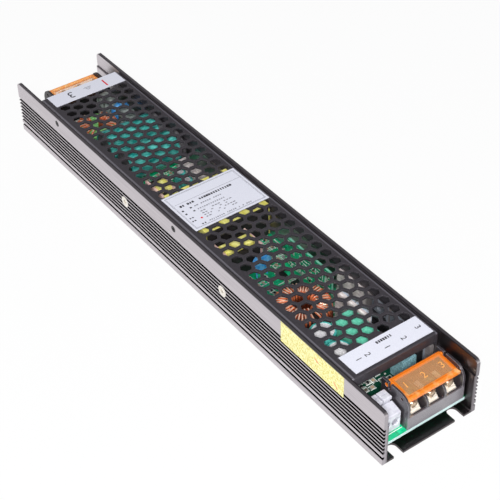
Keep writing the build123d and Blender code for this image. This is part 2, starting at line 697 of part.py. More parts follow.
def signal_terminal():
    """White body of the push-lever terminal with a sloping brow and round wire entries."""
    outline = [
        (SIGNAL_X[0], BOARD_TOP),
        (SIGNAL_X[0], BOARD_TOP + SIGNAL_REAR),
        (SIGNAL_STEP_X, BOARD_TOP + SIGNAL_REAR),
        (SIGNAL_STEP_X, BOARD_TOP + SIGNAL_BROW),
        (SIGNAL_X[1], BOARD_TOP + SIGNAL_NOSE),
        (SIGNAL_X[1], BOARD_TOP),
    ]
    body = side_profile(outline, (SIGNAL_Y - SIGNAL_WIDTH / 2, SIGNAL_Y + SIGNAL_WIDTH / 2))
    nose = body.edges().filter_by(Axis.Y).group_by(Axis.X)[-1].sort_by(Axis.Z)[-1]
    body = chamfer(nose, SIGNAL_EDGE)
    pivot_x, pivot_z = LEVER_PIVOT
    half = LEVER_FOOT_WIDTH / 2 + MOVE_GAP
    reach = LEVER_FOOT_R + MOVE_GAP
    for y in signal_poles():
        well = (pivot_z - reach, BOARD_TOP + SIGNAL_BROW + 1)
        body -= block((pivot_x - reach, pivot_x + reach), (y - half, y + half), well)
        pin_y = (y - half - LEVER_PIN_BITE, y + half + LEVER_PIN_BITE)
        body -= bar_y(pivot_x, pivot_z, pin_y, LEVER_PIN_R + RUN_GAP)
        entry_z = BOARD_TOP + ENTRY_HEIGHT
        along_x = Pos(SIGNAL_X[1], y, entry_z) * Rot(0, 90, 0)
        body -= along_x * Pos(0, 0, -ENTRY_DEPTH / 2) * Cylinder(ENTRY_R, ENTRY_DEPTH)
        flare = Cone(ENTRY_R, ENTRY_R + ENTRY_FLARE, ENTRY_FLARE_DEPTH)
        body -= along_x * Pos(0, 0, -ENTRY_FLARE_DEPTH / 2) * flare
    return body


def signal_lever(y):
    """Push lever: a grooved thumb cap on a broad shoulder, a neck, a rounded foot and a pivot pin."""
    pivot_x, pivot_z = LEVER_PIVOT
    half_cap = (SIGNAL_PITCH - LEVER_GAP) / 2
    half_foot = LEVER_FOOT_WIDTH / 2
    cap = block(LEVER_CAP_X, (y - half_cap, y + half_cap), LEVER_CAP_Z)
    cap = chamfer(cap.faces().sort_by(Axis.Z)[-1].edges(), LEVER_EDGE)
    cap -= Pos(sum(LEVER_CAP_X) / 2, y, LEVER_CAP_Z[1]) * Box(LEVER_GROOVE, 3 * half_cap, 2 * LEVER_GROOVE)
    half_shoulder = half_cap - LEVER_SHOULDER_INSET
    shoulder_z = (LEVER_SHOULDER_Z, LEVER_CAP_Z[0] + LEVER_EDGE)
    shoulder = block(LEVER_SHOULDER_X, (y - half_shoulder, y + half_shoulder), shoulder_z)
    neck_z = (pivot_z, LEVER_SHOULDER_Z + LEVER_EDGE)
    neck = block(centred(pivot_x, LEVER_NECK), (y - half_foot, y + half_foot), neck_z)
    foot = bar_y(pivot_x, pivot_z, (y - half_foot, y + half_foot), LEVER_FOOT_R)
    reach = half_foot + MOVE_GAP + LEVER_PIN_BITE - RUN_GAP
    pin = bar_y(pivot_x, pivot_z, (y - reach, y + reach), LEVER_PIN_R)
    return cap + shoulder + neck + foot + pin


def bulk_capacitor(x):
    """Can lying across the case, with a rolled groove near its leads."""
    z = BOARD_TOP + BULK_RISE + BULK_R
    can_r = BULK_R - SLEEVE
    can = bar_y(x, z, BULK_Y, can_r)
    can = fillet(can.edges().sort_by(Axis.Y)[0], BULK_SHOULDER)
    groove = (BULK_Y[1] - BULK_GROOVE_Y, BULK_Y[1] - BULK_GROOVE_Y + BULK_GROOVE)
    can -= bar_y(x, z, groove, can_r + 1) - bar_y(x, z, groove, can_r - BULK_GROOVE_DEPTH)
    for lead_x in centred(x, BULK_LEAD_PITCH):
        can += bar_y(lead_x, z, (BULK_Y[1] - LEAD_R, BULK_Y[1] + LEAD_R), LEAD_R)
        can += post(lead_x, BULK_Y[1] + LEAD_R, (BOARD_TOP, z + LEAD_R), LEAD_R)
    return can


def bulk_sleeve(x):
    """Shrink sleeve over the can, turned in a little over both ends."""
    z = BOARD_TOP + BULK_RISE + BULK_R
    y = (BULK_Y[0] - SLEEVE, BULK_Y[1] - BULK_GROOVE_Y - FIT_GAP)
    sleeve = bar_y(x, z, y, BULK_R)
    sleeve = fillet(sleeve.edges().sort_by(Axis.Y)[0], BULK_SHOULDER + SLEEVE)
    inside = bar_y(x, z, BULK_Y, BULK_R - SLEEVE)
    sleeve -= fillet(inside.edges().sort_by(Axis.Y)[0], BULK_SHOULDER)
    return sleeve - bar_y(x, z, (y[0] - 1, BULK_Y[0] + 1), BULK_R - BULK_SHOULDER - 2 * SLEEVE)


def upright_can(x, y, radius, height):
    """Standing capacitor can with a rounded shoulder and a scored vent."""
    z = (BOARD_TOP + CAN_RISE, BOARD_TOP + height)
    can = post(x, y, z, radius - SLEEVE)
    can = fillet(can.edges().sort_by(Axis.Z)[-1], CAN_SHOULDER)
    can -= Pos(x, y, z[1]) * Box(radius * 1.1, VENT, VENT)
    can -= Pos(x, y, z[1]) * Box(VENT, radius * 1.1, VENT)
    for lead_x in centred(x, radius * 0.8):
        can += post(lead_x, y, (BOARD_TOP, BOARD_TOP + 2 * CAN_RISE), LEAD_R)
    return can


def upright_sleeve(x, y, radius, height):
    z = (BOARD_TOP + CAN_RISE, BOARD_TOP + height)
    sleeve = post(x, y, (z[0], z[1] + SLEEVE), radius)
    sleeve = fillet(sleeve.edges().sort_by(Axis.Z)[-1], CAN_SHOULDER)
    inside = post(x, y, z, radius - SLEEVE)
    sleeve -= fillet(inside.edges().sort_by(Axis.Z)[-1], CAN_SHOULDER)
    return sleeve - post(x, y, (z[1] - CAN_RIM, z[1] + CAN_RIM), radius - CAN_RIM)


def ring_core(centre, radii, height, wire):
    """Rounded ring that lies on its winding."""
    z = BOARD_TOP + wire
    ring = post(*centre, (z, z + height), radii[1]) - post(*centre, (z - 1, z + height + 1), radii[0])
    edges = ring.edges().filter_by(GeomType.CIRCLE)
    return fillet(edges, RING_EDGE)


def ring_turn(centre, radii, height, wire, step, angle):
    """One turn of wire round a ring core: a square loop with cut corners, clear of the next one."""
    z = BOARD_TOP
    out = radii[1] - radii[0] + 2 * wire
    tall = height + 2 * wire
    loop = Rectangle(out, tall)
    loop = chamfer(loop.vertices(), wire * 0.7)
    loop -= Rectangle(out - 2 * wire + 2 * RUN_GAP, tall - 2 * wire + 2 * RUN_GAP)
    middle = (radii[0] + radii[1]) / 2
    width = radians(step) * (radii[0] - wire) - TURN_GAP
    turn = extrude(Plane.XZ * Pos(middle, z + tall / 2) * loop, width / 2, both=True)
    return Pos(*centre, 0) * Rot(0, 0, angle) * turn


def winding(centre, radii, height, wire, step, angles):
    return [ring_turn(centre, radii, height, wire, step, angle) for angle in angles]


def storage_angles():
    return [i * STORAGE_STEP for i in range(STORAGE_TURNS)]


def choke_angles():
    middle = (CHOKE_TURNS - 1) / 2
    first = [CHOKE_TURNED + (i - middle) * CHOKE_TURN_STEP for i in range(CHOKE_TURNS)]
    return first + [angle + 180 for angle in first]


def boxed_capacitor(x, y, height):
    """Moulded box capacitor on four small feet."""
    box = block(x, y, (BOARD_TOP + BOX_FOOT, BOARD_TOP + height))
    box = chamfer(box.edges().filter_by(Axis.Z), BOX_EDGE)
    inset = BOX_FOOT_INSET + BOX_FOOT_WIDTH / 2
    for foot_x in (x[0] + inset, x[1] - inset):
        for foot_y in (y[0] + inset, y[1] - inset):
            foot_z = (BOARD_TOP, BOARD_TOP + BOX_FOOT)
            box += block(centred(foot_x, BOX_FOOT_WIDTH), centred(foot_y, BOX_FOOT_WIDTH), foot_z)
    return box


def disc(centre, radius, thickness):
    """Dipped disc standing on two leads, its flat side along X."""
    x, y = centre
    z = BOARD_TOP + DISC_RISE + radius
    body = Pos(x, y, z) * Rot(0, 90, 0) * Cylinder(radius, thickness)
    body = fillet(body.edges().filter_by(GeomType.CIRCLE), thickness * 0.4)
    for lead_y in centred(y, radius * 1.2):
        body += post(x, lead_y, (BOARD_TOP, z - radius * 0.4), LEAD_R)
    return body


def input_fuse():
    z = BOARD_TOP + FUSE_R + FUSE_RISE
    tube = bar_y(FUSE_X, z, FUSE_Y, FUSE_R - FUSE_CAP_WALL)
    tube += bar_y(FUSE_X, z, (FUSE_Y[0], FUSE_Y[0] + FUSE_CAP), FUSE_R)
    tube += bar_y(FUSE_X, z, (FUSE_Y[1] - FUSE_CAP, FUSE_Y[1]), FUSE_R)
    for y, out in ((FUSE_Y[0], -1), (FUSE_Y[1], 1)):
        tube += bar_y(FUSE_X, z, (y, y + out * FUSE_BEND), LEAD_R)
        tube += post(FUSE_X, y + out * FUSE_BEND, (BOARD_TOP, z + LEAD_R), LEAD_R)
    return tube


def bridge_rectifier():
    z = (BOARD_TOP + LEAD_STAND, BOARD_TOP + LEAD_STAND + BRIDGE_HEIGHT)
    body = block(BRIDGE_X, BRIDGE_Y, z)
    top_edges = body.edges().filter_by(Axis.Y).group_by(Axis.Z)[-1]
    body = chamfer(top_edges.sort_by(Axis.X)[0], BRIDGE_CORNER)
    x = sum(BRIDGE_X) / 2
    y = sum(BRIDGE_Y) / 2
    body -= bar_y(x, z[1] - BRIDGE_HOLE_DROP, (BRIDGE_Y[0] - 1, BRIDGE_Y[1] + 1), BRIDGE_HOLE_R)
    for shift in BRIDGE_LEADS:
        body += post(x + shift, y, (BOARD_TOP, z[0] + BRIDGE_LEAD_R), BRIDGE_LEAD_R)
    return body


def transformer_core():
    """Flat pair of E cores: back plates at both ends, outer legs and a middle leg."""
    z = (BOARD_TOP + CORE_RISE, BOARD_TOP + CORE_RISE + CORE_HEIGHT)
    core = block(CORE_X, CORE_Y, z)
    core = chamfer(core.edges().filter_by(Axis.Z), CORE_EDGE)
    middle_y = (CORE_Y[0] + CORE_Y[1]) / 2
    window = (CORE_Y[1] - CORE_Y[0] - 4 * CORE_LEG) / 2
    for side in (-1, 1):
        y = (middle_y + side * CORE_LEG, middle_y + side * (CORE_LEG + window))
        core -= block((CORE_X[0] + CORE_BACK, CORE_X[1] - CORE_BACK), y, (z[0] - 1, z[1] + 1))
    return core


def transformer_coil():
    """Wound coil in the core's two windows; it stands on the board and carries the core."""
    z = (BOARD_TOP, BOARD_TOP + CORE_RISE + CORE_HEIGHT - COIL_DROP)
    middle_y = (CORE_Y[0] + CORE_Y[1]) / 2
    window = (CORE_Y[1] - CORE_Y[0] - 4 * CORE_LEG) / 2
    half = CORE_LEG + window - FIT_GAP
    x = (CORE_X[0] + CORE_BACK + FIT_GAP, CORE_X[1] - CORE_BACK - FIT_GAP)
    parts = []
    for side in (-1, 1):
        y = (middle_y + side * (CORE_LEG + FIT_GAP), middle_y + side * half)
        limb = block(x, y, z)
        parts.append(fillet(limb.edges().filter_by(Axis.X), COIL_EDGE))
    return parts


def transformer_tape():
    """Yellow tape wrapped round the top and both sides of the core."""
    z = (BOARD_TOP + CORE_RISE, BOARD_TOP + CORE_RISE + CORE_HEIGHT)
    x = (CORE_X[0] + TAPE_INSET, CORE_X[1] - TAPE_INSET)
    outside = block(x, (CORE_Y[0] - TAPE, CORE_Y[1] + TAPE), (z[0], z[1] + TAPE))
    outside = fillet(outside.edges().filter_by(Axis.X).sort_by(Axis.Z)[-2:], TAPE)
    return outside - block((x[0] - 1, x[1] + 1), CORE_Y, (z[0] - 1, z[1]))


def coil_former_flanges(x, y, height, flange):
    """End flanges of a small transformer's coil former, standing on the board."""
    return [
        block(x, (y[0], y[0] + flange), (BOARD_TOP, BOARD_TOP + height)),
        block(x, (y[1] - flange, y[1]), (BOARD_TOP, BOARD_TOP + height)),
    ]


def small_coil(x, y, height, flange, leg):
    """Taped coil between the flanges and the core's side legs."""
    z = (BOARD_TOP + SMALL_COIL_RISE, BOARD_TOP + height + SMALL_COIL_CROWN)
    coil = block((x[0] + leg, x[1] - leg), (y[0] + flange, y[1] - flange), z)
    return fillet(coil.edges().filter_by(Axis.Y), SMALL_COIL_EDGE)


def small_core(x, y, height, flange, leg):
    """Two side legs of a small E core, one on each side of the coil."""
    z = (BOARD_TOP + SMALL_CORE_RISE, BOARD_TOP + height - SMALL_CORE_DROP)
    span = (y[0] + flange, y[1] - flange)
    legs = [block((x[0], x[0] + leg), span, z), block((x[1] - leg, x[1]), span, z)]
    return [chamfer(part.edges().filter_by(Axis.Y), SMALL_CORE_EDGE) for part in legs]


def control_board():
    return block(CARD_X, centred(CARD_Y, CARD), (BOARD_TOP, BOARD_TOP + CARD_HEIGHT))


def chips():
    """Surface-mount packages on the main board."""
    parts = []
    for x, y, long, wide, high in CHIPS:
        body = block(centred(x, long), centred(y, wide), (BOARD_TOP, BOARD_TOP + high))
        parts.append(chamfer(body.faces().sort_by(Axis.Z)[-1].edges(), CHIP_EDGE))
    return parts


def power_device(x, tab_y, side):
    """Moulded body of a power device standing against its tab."""
    y = tab_y + side * TAB
    z = (BOARD_TOP + LEAD_STAND, BOARD_TOP + LEAD_STAND + DEVICE_BODY)
    body = block(centred(x, DEVICE_WIDTH), (y, y + side * DEVICE_THICK), z)
    outer = -1 if side > 0 else 0
    body = chamfer(body.edges().filter_by(Axis.X).group_by(Axis.Y)[outer], MOULD_EDGE)
    for lead_x in lead_row(x):
        body += post(lead_x, y + side * DEVICE_THICK / 2, (BOARD_TOP, z[0] + LEAD_R), LEAD_R)
    return body


def power_tab(x, tab_y, side):
    z = (BOARD_TOP + LEAD_STAND + TAB_RISE, BOARD_TOP + LEAD_STAND + TAB_HEIGHT)
    tab = block(centred(x, DEVICE_WIDTH), (tab_y, tab_y + side * TAB), z)
    return tab - bar_y(x, z[1] - TAB_HOLE_DROP, (tab_y - 2 * TAB, tab_y + 2 * TAB), TAB_HOLE_R)


def heat_spreader():
    y = (SPREADER_FACE - SPREADER, SPREADER_FACE)
    plate = block(SPREADER_X, y, (BOARD_TOP, BOARD_TOP + SPREADER_HEIGHT))
    return chamfer(plate.edges().filter_by(Axis.X).group_by(Axis.Z)[-1], PLATE_EDGE)


def wall_heat_bar():
    """Aluminium bar on the right wall that carries the output devices."""
    y = (WALL_BAR_FACE, WALL_BAR_FACE + WALL_BAR)
    bar = block(WALL_BAR_X, y, (BOARD_TOP, BOARD_TOP + WALL_BAR_HEIGHT))
    return chamfer(bar.edges().filter_by(Axis.X).group_by(Axis.Z)[-1], PLATE_EDGE)


def finned_sink():
    """Small extruded heat sink with upright fins."""
    z = (BOARD_TOP, BOARD_TOP + SINK_HEIGHT)
    sink = block(SINK_X, (SINK_Y[0], SINK_Y[0] + SINK_BASE), z)
    step = (SINK_X[1] - SINK_X[0] - SINK_FIN) / (SINK_FINS - 1)
    for i in range(SINK_FINS):
        x = SINK_X[0] + i * step
        sink += block((x, x + SINK_FIN), SINK_Y, z)
    return sink


def label(x):
    return block(x, LABEL_Y, (COVER_TOP, COVER_TOP + LABEL))


def side_sticker():
    y = (-WIDTH / 2 - STICKER, -WIDTH / 2)
    z = (TOP_GROOVE_Z + GROOVE_WIDTH / 2 + STICKER_GAP, HEIGHT - STICKER_DROP)
    return block(STICKER_X, y, z)


line_choke = (CHOKE_AT, CHOKE_R, CHOKE_HEIGHT, CHOKE_WIRE)
storage_choke = (STORAGE_AT, STORAGE_R, STORAGE_HEIGHT, STORAGE_WIRE)
second = (SECOND_X, SECOND_Y, SECOND_HEIGHT, SMALL_FLANGE)
auxiliary = (AUX_X, AUX_Y, AUX_HEIGHT, SMALL_FLANGE)
driver_size = (DRIVER_CAP_R, DRIVER_CAP_HEIGHT)
output_size = (OUTPUT_CAP_R, OUTPUT_CAP_HEIGHT)

parts = {
    "housing": [housing()],
    "perforated_cover": [perforated_cover()],
    "cover_screws": cover_screws(),
    "wall_screws": wall_screws(),
    "wall_screw_nuts": [wall_nut(x) for x in WALL_SCREW_X],
    "wall_transistors": [wall_transistor(x) for x in WALL_SCREW_X],
    "wall_transistor_pads": [wall_transistor_pad(x) for x in WALL_SCREW_X],
    "main_board": [main_board()],
    "board_standoffs": [standoff(x, y) for x, y in STANDOFFS],
    "board_screws": [board_screw(x, y) for x, y in STANDOFFS],
    "insulation_sheet": [insulation_sheet()],
    "output_terminal_body": [at_output(terminal_body())],
    "output_terminal_contacts": [at_output(terminal_contact(y)) for y in POLE_Y],
    "output_terminal_clamps": [at_output(terminal_clamp(y)) for y in POLE_Y],
    "output_terminal_screws": [at_output(terminal_screw(y)) for y in POLE_Y],
    "output_terminal_lid": [at_output(terminal_lid())],
    "input_terminal_body": [at_input(terminal_body())],
    "input_terminal_contacts": [at_input(terminal_contact(y)) for y in POLE_Y],
    "input_terminal_clamps": [at_input(terminal_clamp(y)) for y in POLE_Y],
    "input_terminal_screws": [at_input(terminal_screw(y)) for y in POLE_Y],
    "input_terminal_lid": [at_input(terminal_lid())],
    "signal_terminal_body": [signal_terminal()],
    "signal_lever_left": [signal_lever(signal_poles()[0])],
    "signal_lever_right": [signal_lever(signal_poles()[1])],
    "input_fuse": [input_fuse()],
    "surge_varistor": [disc(VARISTOR_AT, VARISTOR_R, VARISTOR_THICK)],
    "line_capacitors": [
        boxed_capacitor(x, y, LINE_CAP_HEIGHT) for x, y in zip(LINE_CAPS_X, LINE_CAPS_Y)
    ],
    "line_choke_core": [ring_core(*line_choke)],
    "line_choke_windings": winding(*line_choke, CHOKE_TURN_STEP, choke_angles()),
    "bridge_rectifier": [bridge_rectifier()],
    "bulk_capacitor_cans": [bulk_capacitor(x) for x in BULK_X],
    "bulk_capacitor_sleeves": [bulk_sleeve(x) for x in BULK_X],
    "finned_heat_sink": [finned_sink()],
    "driver_capacitor_cans": [upright_can(*place, *driver_size) for place in DRIVER_CAPS],
    "driver_capacitor_sleeves": [upright_sleeve(*place, *driver_size) for place in DRIVER_CAPS],
    "driver_transformer_former": coil_former_flanges(*auxiliary),
    "driver_transformer_coil": [small_coil(*auxiliary, SMALL_LEG)],
    "driver_transformer_core": small_core(*auxiliary, SMALL_LEG),
    "main_transformer_core": [transformer_core()],
    "main_transformer_coil": transformer_coil(),
    "main_transformer_tape": [transformer_tape()],
    "second_transformer_former": coil_former_flanges(*second),
    "second_transformer_coil": [small_coil(*second, SMALL_LEG)],
    "second_transformer_core": small_core(*second, SMALL_LEG),
    "safety_capacitor": [disc(SAFETY_CAP_AT, SAFETY_CAP_R, SAFETY_CAP_THICK)],
    "control_board": [control_board()],
    "control_chips": chips(),
    "storage_choke_core": [ring_core(*storage_choke)],
    "storage_choke_winding": winding(*storage_choke, STORAGE_STEP, storage_angles()),
    "heat_spreader": [heat_spreader()],
    "wall_heat_bar": [wall_heat_bar()],
    "output_devices": [power_device(x, SPREADER_FACE, 1) for x in SPREADER_DEVICES_X]
    + [power_device(x, WALL_BAR_FACE, -1) for x in WALL_DEVICES_X],
    "output_device_tabs": [power_tab(x, SPREADER_FACE, 1) for x in SPREADER_DEVICES_X]
    + [power_tab(x, WALL_BAR_FACE, -1) for x in WALL_DEVICES_X],
    "film_capacitor": [boxed_capacitor(FILM_CAP_X, FILM_CAP_Y, FILM_CAP_HEIGHT)],
    "filter_capacitor": [boxed_capacitor(FILTER_CAP_X, FILTER_CAP_Y, FILTER_CAP_HEIGHT)],
    "output_capacitor_cans": [upright_can(*place, *output_size) for place in OUTPUT_CAPS],
    "output_capacitor_sleeves": [upright_sleeve(*place, *output_size) for place in OUTPUT_CAPS],
    "cover_labels": [label(x) for x in (INPUT_LABEL_X, MIDDLE_LABEL_X, OUTPUT_LABEL_X)],
    "side_sticker": [side_sticker()],
}

os.makedirs("parts", exist_ok=True)
for name, solids in parts.items():
    shape = solids[0] if len(solids) == 1 else Compound(children=list(solids))
    export_step(shape, f"parts/{name}.step")
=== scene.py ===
# %% [markdown]
# # Dressing a slim power supply
# The object is a long mains power supply: a black anodised channel, a honeycomb cover over a green
# circuit board, and a screw terminal under an orange flip lid at each end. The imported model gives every
# rigid piece at its real size. This lesson gives those pieces their finishes, adds the fine detail that
# a solid model leaves out, and sets the supply on a white studio floor.

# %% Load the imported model
import json
import math
from functools import partial

import bmesh
import bpy
from mathutils import Euler, Matrix, Vector
from mathutils.bvhtree import BVHTree

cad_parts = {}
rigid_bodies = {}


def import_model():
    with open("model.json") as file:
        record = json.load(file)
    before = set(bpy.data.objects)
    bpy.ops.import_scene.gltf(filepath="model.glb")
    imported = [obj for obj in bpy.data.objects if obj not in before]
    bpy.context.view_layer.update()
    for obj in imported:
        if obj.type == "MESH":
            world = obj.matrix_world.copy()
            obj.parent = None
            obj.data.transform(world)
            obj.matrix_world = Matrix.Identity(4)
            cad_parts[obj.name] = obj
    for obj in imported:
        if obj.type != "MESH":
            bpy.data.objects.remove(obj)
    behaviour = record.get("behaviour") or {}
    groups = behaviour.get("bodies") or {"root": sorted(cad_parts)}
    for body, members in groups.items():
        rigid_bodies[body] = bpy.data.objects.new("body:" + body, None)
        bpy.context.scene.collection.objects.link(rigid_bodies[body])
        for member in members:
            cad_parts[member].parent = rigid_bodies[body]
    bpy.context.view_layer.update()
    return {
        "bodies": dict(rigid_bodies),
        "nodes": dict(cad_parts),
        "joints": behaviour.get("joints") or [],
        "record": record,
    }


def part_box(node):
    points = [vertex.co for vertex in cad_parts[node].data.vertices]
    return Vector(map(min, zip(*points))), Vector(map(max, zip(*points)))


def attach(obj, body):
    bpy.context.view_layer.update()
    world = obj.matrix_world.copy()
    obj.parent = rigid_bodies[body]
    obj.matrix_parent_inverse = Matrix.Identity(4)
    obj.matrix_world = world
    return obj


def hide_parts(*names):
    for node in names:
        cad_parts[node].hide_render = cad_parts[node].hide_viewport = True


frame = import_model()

MM = 0.001
parts = frame["nodes"]


def in_mm(box):
    """Lowest and highest corner of a box, in millimetres."""
    return [Vector(corner) / MM for corner in box]


# %% [markdown]
# ## Small helpers
# A shader or geometry tree is a list of nodes and links, which soon grows long. One helper makes a node,
# sets its options and fills its sockets: a plain value is set on the socket, and another node's output is
# linked to it. Colours are written as they look on a screen and changed to linear light where they mix.

# %% Helpers for node trees
def srgb(red, green, blue):
    """Linear colour, with alpha, of a screen colour given in steps of 0 to 255."""
    channels = [value / 255 for value in (red, green, blue)]
    linear = [c / 12.92 if c <= 0.04045 else ((c + 0.055) / 1.055) ** 2.4 for c in channels]
    return (*linear, 1.0)


def feed(tree, socket, value):
    """Link a node's output to a socket, or set a plain value on it."""
    if isinstance(value, bpy.types.NodeSocket):
        tree.links.new(value, socket)
    else:
        socket.default_value = value


def put(tree, kind, options=None, **inputs):
    """Add a node, set its options, and fill its sockets by name or by number, as in_0."""
    node = tree.nodes.new(kind)
    for name, value in (options or {}).items():
        setattr(node, name, value)
    for name, value in inputs.items():
        key = int(name[3:]) if name.startswith("in_") else name.replace("_", " ")
        feed(tree, node.inputs[key], value)
    return node


def calc(tree, operation, first, second=0.0):
    return put(tree, "ShaderNodeMath", {"operation": operation}, in_0=first, in_1=second).outputs[0]


def sums(tree):
    """Short names for the sums of one tree: plus, minus, times and over."""
    return [partial(calc, tree, sign) for sign in ("ADD", "SUBTRACT", "MULTIPLY", "DIVIDE")]


def vector_calc(tree, operation, first, second):
    """Sum of two vectors, or, for SCALE, of a vector and a number."""
    node = put(tree, "ShaderNodeVectorMath", {"operation": operation}, in_0=first)
    feed(tree, node.inputs["Scale" if operation == "SCALE" else 1], second)
    return node.outputs["Value" if operation == "DOT_PRODUCT" else "Vector"]


def remap(tree, value, low, high, new_low=0.0, new_high=1.0):
    """Stretch a range of values on to another one, and clamp it."""
    limits = {"in_1": low, "in_2": high, "in_3": new_low, "in_4": new_high}
    return put(tree, "ShaderNodeMapRange", in_0=value, **limits).outputs[0]


def mix_colour(tree, factor, first, second):
    """Mix of two colours. A screen colour has three numbers, and a linear one has four."""
    pair = [srgb(*c) if isinstance(c, tuple) and len(c) == 3 else c for c in (first, second)]
    mixed = put(tree, "ShaderNodeMix", {"data_type": "RGBA"}, in_0=factor, in_6=pair[0], in_7=pair[1])
    return mixed.outputs[2]


def here(tree):
    """The shaded point, in metres from the model's origin."""
    return tree.nodes.new("ShaderNodeTexCoord").outputs["Object"]


def parted(tree, vector):
    """X, Y and Z of a vector."""
    return put(tree, "ShaderNodeSeparateXYZ", Vector=vector).outputs


def surface_direction(tree):
    return parted(tree, tree.nodes.new("ShaderNodeNewGeometry").outputs["Normal"])


# %% [markdown]
# ## Shared effects
# Real surfaces are never one flat colour. Three effects return on almost every piece here: a fine grain,
# a painted highlight along sharp edges, and bands laid across a part at a known place, such as a stripe
# on a sleeve.
# Each is built once as a group, and every finish gives it its own values.

# %% Group: grain
def new_tree(family, name, output, **inputs):
    """Empty node group, its inputs named by kind; returns the tree, its inputs and its output."""
    tree = bpy.data.node_groups.new(name, family + "NodeTree")
    for kind, labels in inputs.items():
        for label in labels.split():
            tree.interface.new_socket(label, in_out="INPUT", socket_type="NodeSocket" + kind)
    kind = "Geometry" if family == "Geometry" else "Float"
    tree.interface.new_socket(output, in_out="OUTPUT", socket_type="NodeSocket" + kind)
    given = tree.nodes.new("NodeGroupInput").outputs
    return tree, given, tree.nodes.new("NodeGroupOutput").inputs[0]


def build_grain():
    """Noise with a feature size in millimetres and a stretch along each axis."""
    tree, given, result = new_tree("Shader", "grain", "Value", Float="Size Detail", Vector="Stretch")
    stretched = vector_calc(tree, "DIVIDE", here(tree), given["Stretch"])
    per_metre = calc(tree, "DIVIDE", 1.0 / MM, given["Size"])
    noise = put(tree, "ShaderNodeTexNoise", Vector=stretched, Scale=per_metre, Detail=given["Detail"])
    feed(tree, result, noise.outputs[0])
    return tree


GRAIN = build_grain()

# %% Group: painted edge highlight
ALIKE_ON_A_FLAT = 0.995
ALIKE_ON_AN_EDGE = 0.80


def rounded_normal(tree, radius):
    """Normal of the surface as if its sharp edges were rounded."""
    return put(tree, "ShaderNodeBevel", {"samples": 4}, Radius=radius).outputs[0]


# The mask lays a painted highlight along the sharp edges of the finishes that use it.
def build_edge_highlight():
    """Mask that is white along sharp edges, worked out from how fast the surface turns."""
    tree, given, result = new_tree("Shader", "edge_highlight", "Mask", Float="Radius")
    sharp = tree.nodes.new("ShaderNodeNewGeometry").outputs["Normal"]
    alike = vector_calc(tree, "DOT_PRODUCT", rounded_normal(tree, given["Radius"]), sharp)
    feed(tree, result, remap(tree, alike, ALIKE_ON_A_FLAT, ALIKE_ON_AN_EDGE))
    return tree


EDGE_HIGHLIGHT = build_edge_highlight()

# %% Group: band
def build_band():
    """Mask of the space between two places along one axis, in millimetres, with soft edges."""
    tree, given, result = new_tree("Shader", "band", "Mask", Vector="Axis", Float="From To Soft")
    _, minus, _, over = sums(tree)
    along = over(vector_calc(tree, "DOT_PRODUCT", here(tree), given["Axis"]), MM)
    start = over(minus(along, given["From"]), given["Soft"])
    end = over(minus(given["To"], along), given["Soft"])
    feed(tree, result, remap(tree, calc(tree, "MINIMUM", start, end), 0.0, 1.0))
    return tree


BAND = build_band()

# %% [markdown]
# ## Tones at known places
# Object coordinates are the real places here, because every piece keeps its place in its mesh. So a tone
# can be laid on a block of space that is given in millimetres, such as the grooves or a stripe.

# %% Masks and tones
def use(tree, group, **inputs):
    """Place a shared group in a material and return its only output."""
    node = tree.nodes.new("ShaderNodeGroup")
    node.node_tree = group
    for name, value in inputs.items():
        feed(tree, node.inputs[name], value)
    return node.outputs[0]


def band(tree, axis, low, high, soft=0.1):
    """Mask of the space between two places along X, Y or Z, in millimetres."""
    direction = [1.0 if axis == letter else 0.0 for letter in "XYZ"]
    return use(tree, BAND, Axis=direction, From=low, To=high, Soft=soft)


def crossing(tree, *masks):
    """White where all of the masks are white."""
    whole = masks[0]
    for mask in masks[1:]:
        whole = calc(tree, "MULTIPLY", whole, mask)
    return whole


def zone(tree, **limits):
    """Mask of a block of space, from its two ends along each axis and, third, how softly they fade."""
    return crossing(tree, *[band(tree, axis, *ends) for axis, ends in limits.items()])


def toned(tree, colour, tones):
    """Lay tones over a colour, each as a mask, its share and the tone."""
    for mask, share, tone in tones:
        colour = mix_colour(tree, calc(tree, "MULTIPLY", mask, share), colour, tone)
    return colour


def shaded(*tones):
    """Step of a finish that lays tones on blocks of space, each as its share, the tone and its limits."""
    def lay(tree, colour):
        return toned(tree, colour, [(zone(tree, **limits), share, tone) for share, tone, limits in tones])

    return lay


def mirrored(share, tone, wall, **limits):
    """The same tone at both walls, each given by two distances from the middle and its softness."""
    inner, outer, soft = wall
    both = (wall, (-outer, -inner, soft))
    return [(share, tone, {"Y": ends, **limits}) for ends in both]


# %% [markdown]
# ## One recipe for most finishes
# A finish needs a pair of colours that the grain drifts between, a roughness that drifts too, a little
# bump, and rounded edges with a painted highlight along them. One function holds that recipe. The Bevel
# node bends the normals near each sharp edge, so that every moulded or punched edge catches a thin line
# of light, as real ones do.

# %% The common recipe
COLOUR_DRIFT = (0.35, 0.65)
FINE_DRIFT = (0.3, 0.7)
GLOSS_DRIFT = (0.85, 1.15)
COAT_ROUGHNESS = 0.08
EVEN = (1, 1, 1)


def new_material(name):
    material = bpy.data.materials.new(name)
    material.use_nodes = True
    return material, material.node_tree, material.node_tree.nodes["Principled BSDF"]


def dress(material, nodes):
    """Give a finish to whole nodes of the model, named in one text."""
    for node in nodes.split():
        for slot in parts[node].material_slots:
            slot.material = material
    print("finish", material.name, "is on", nodes or "pieces to come")


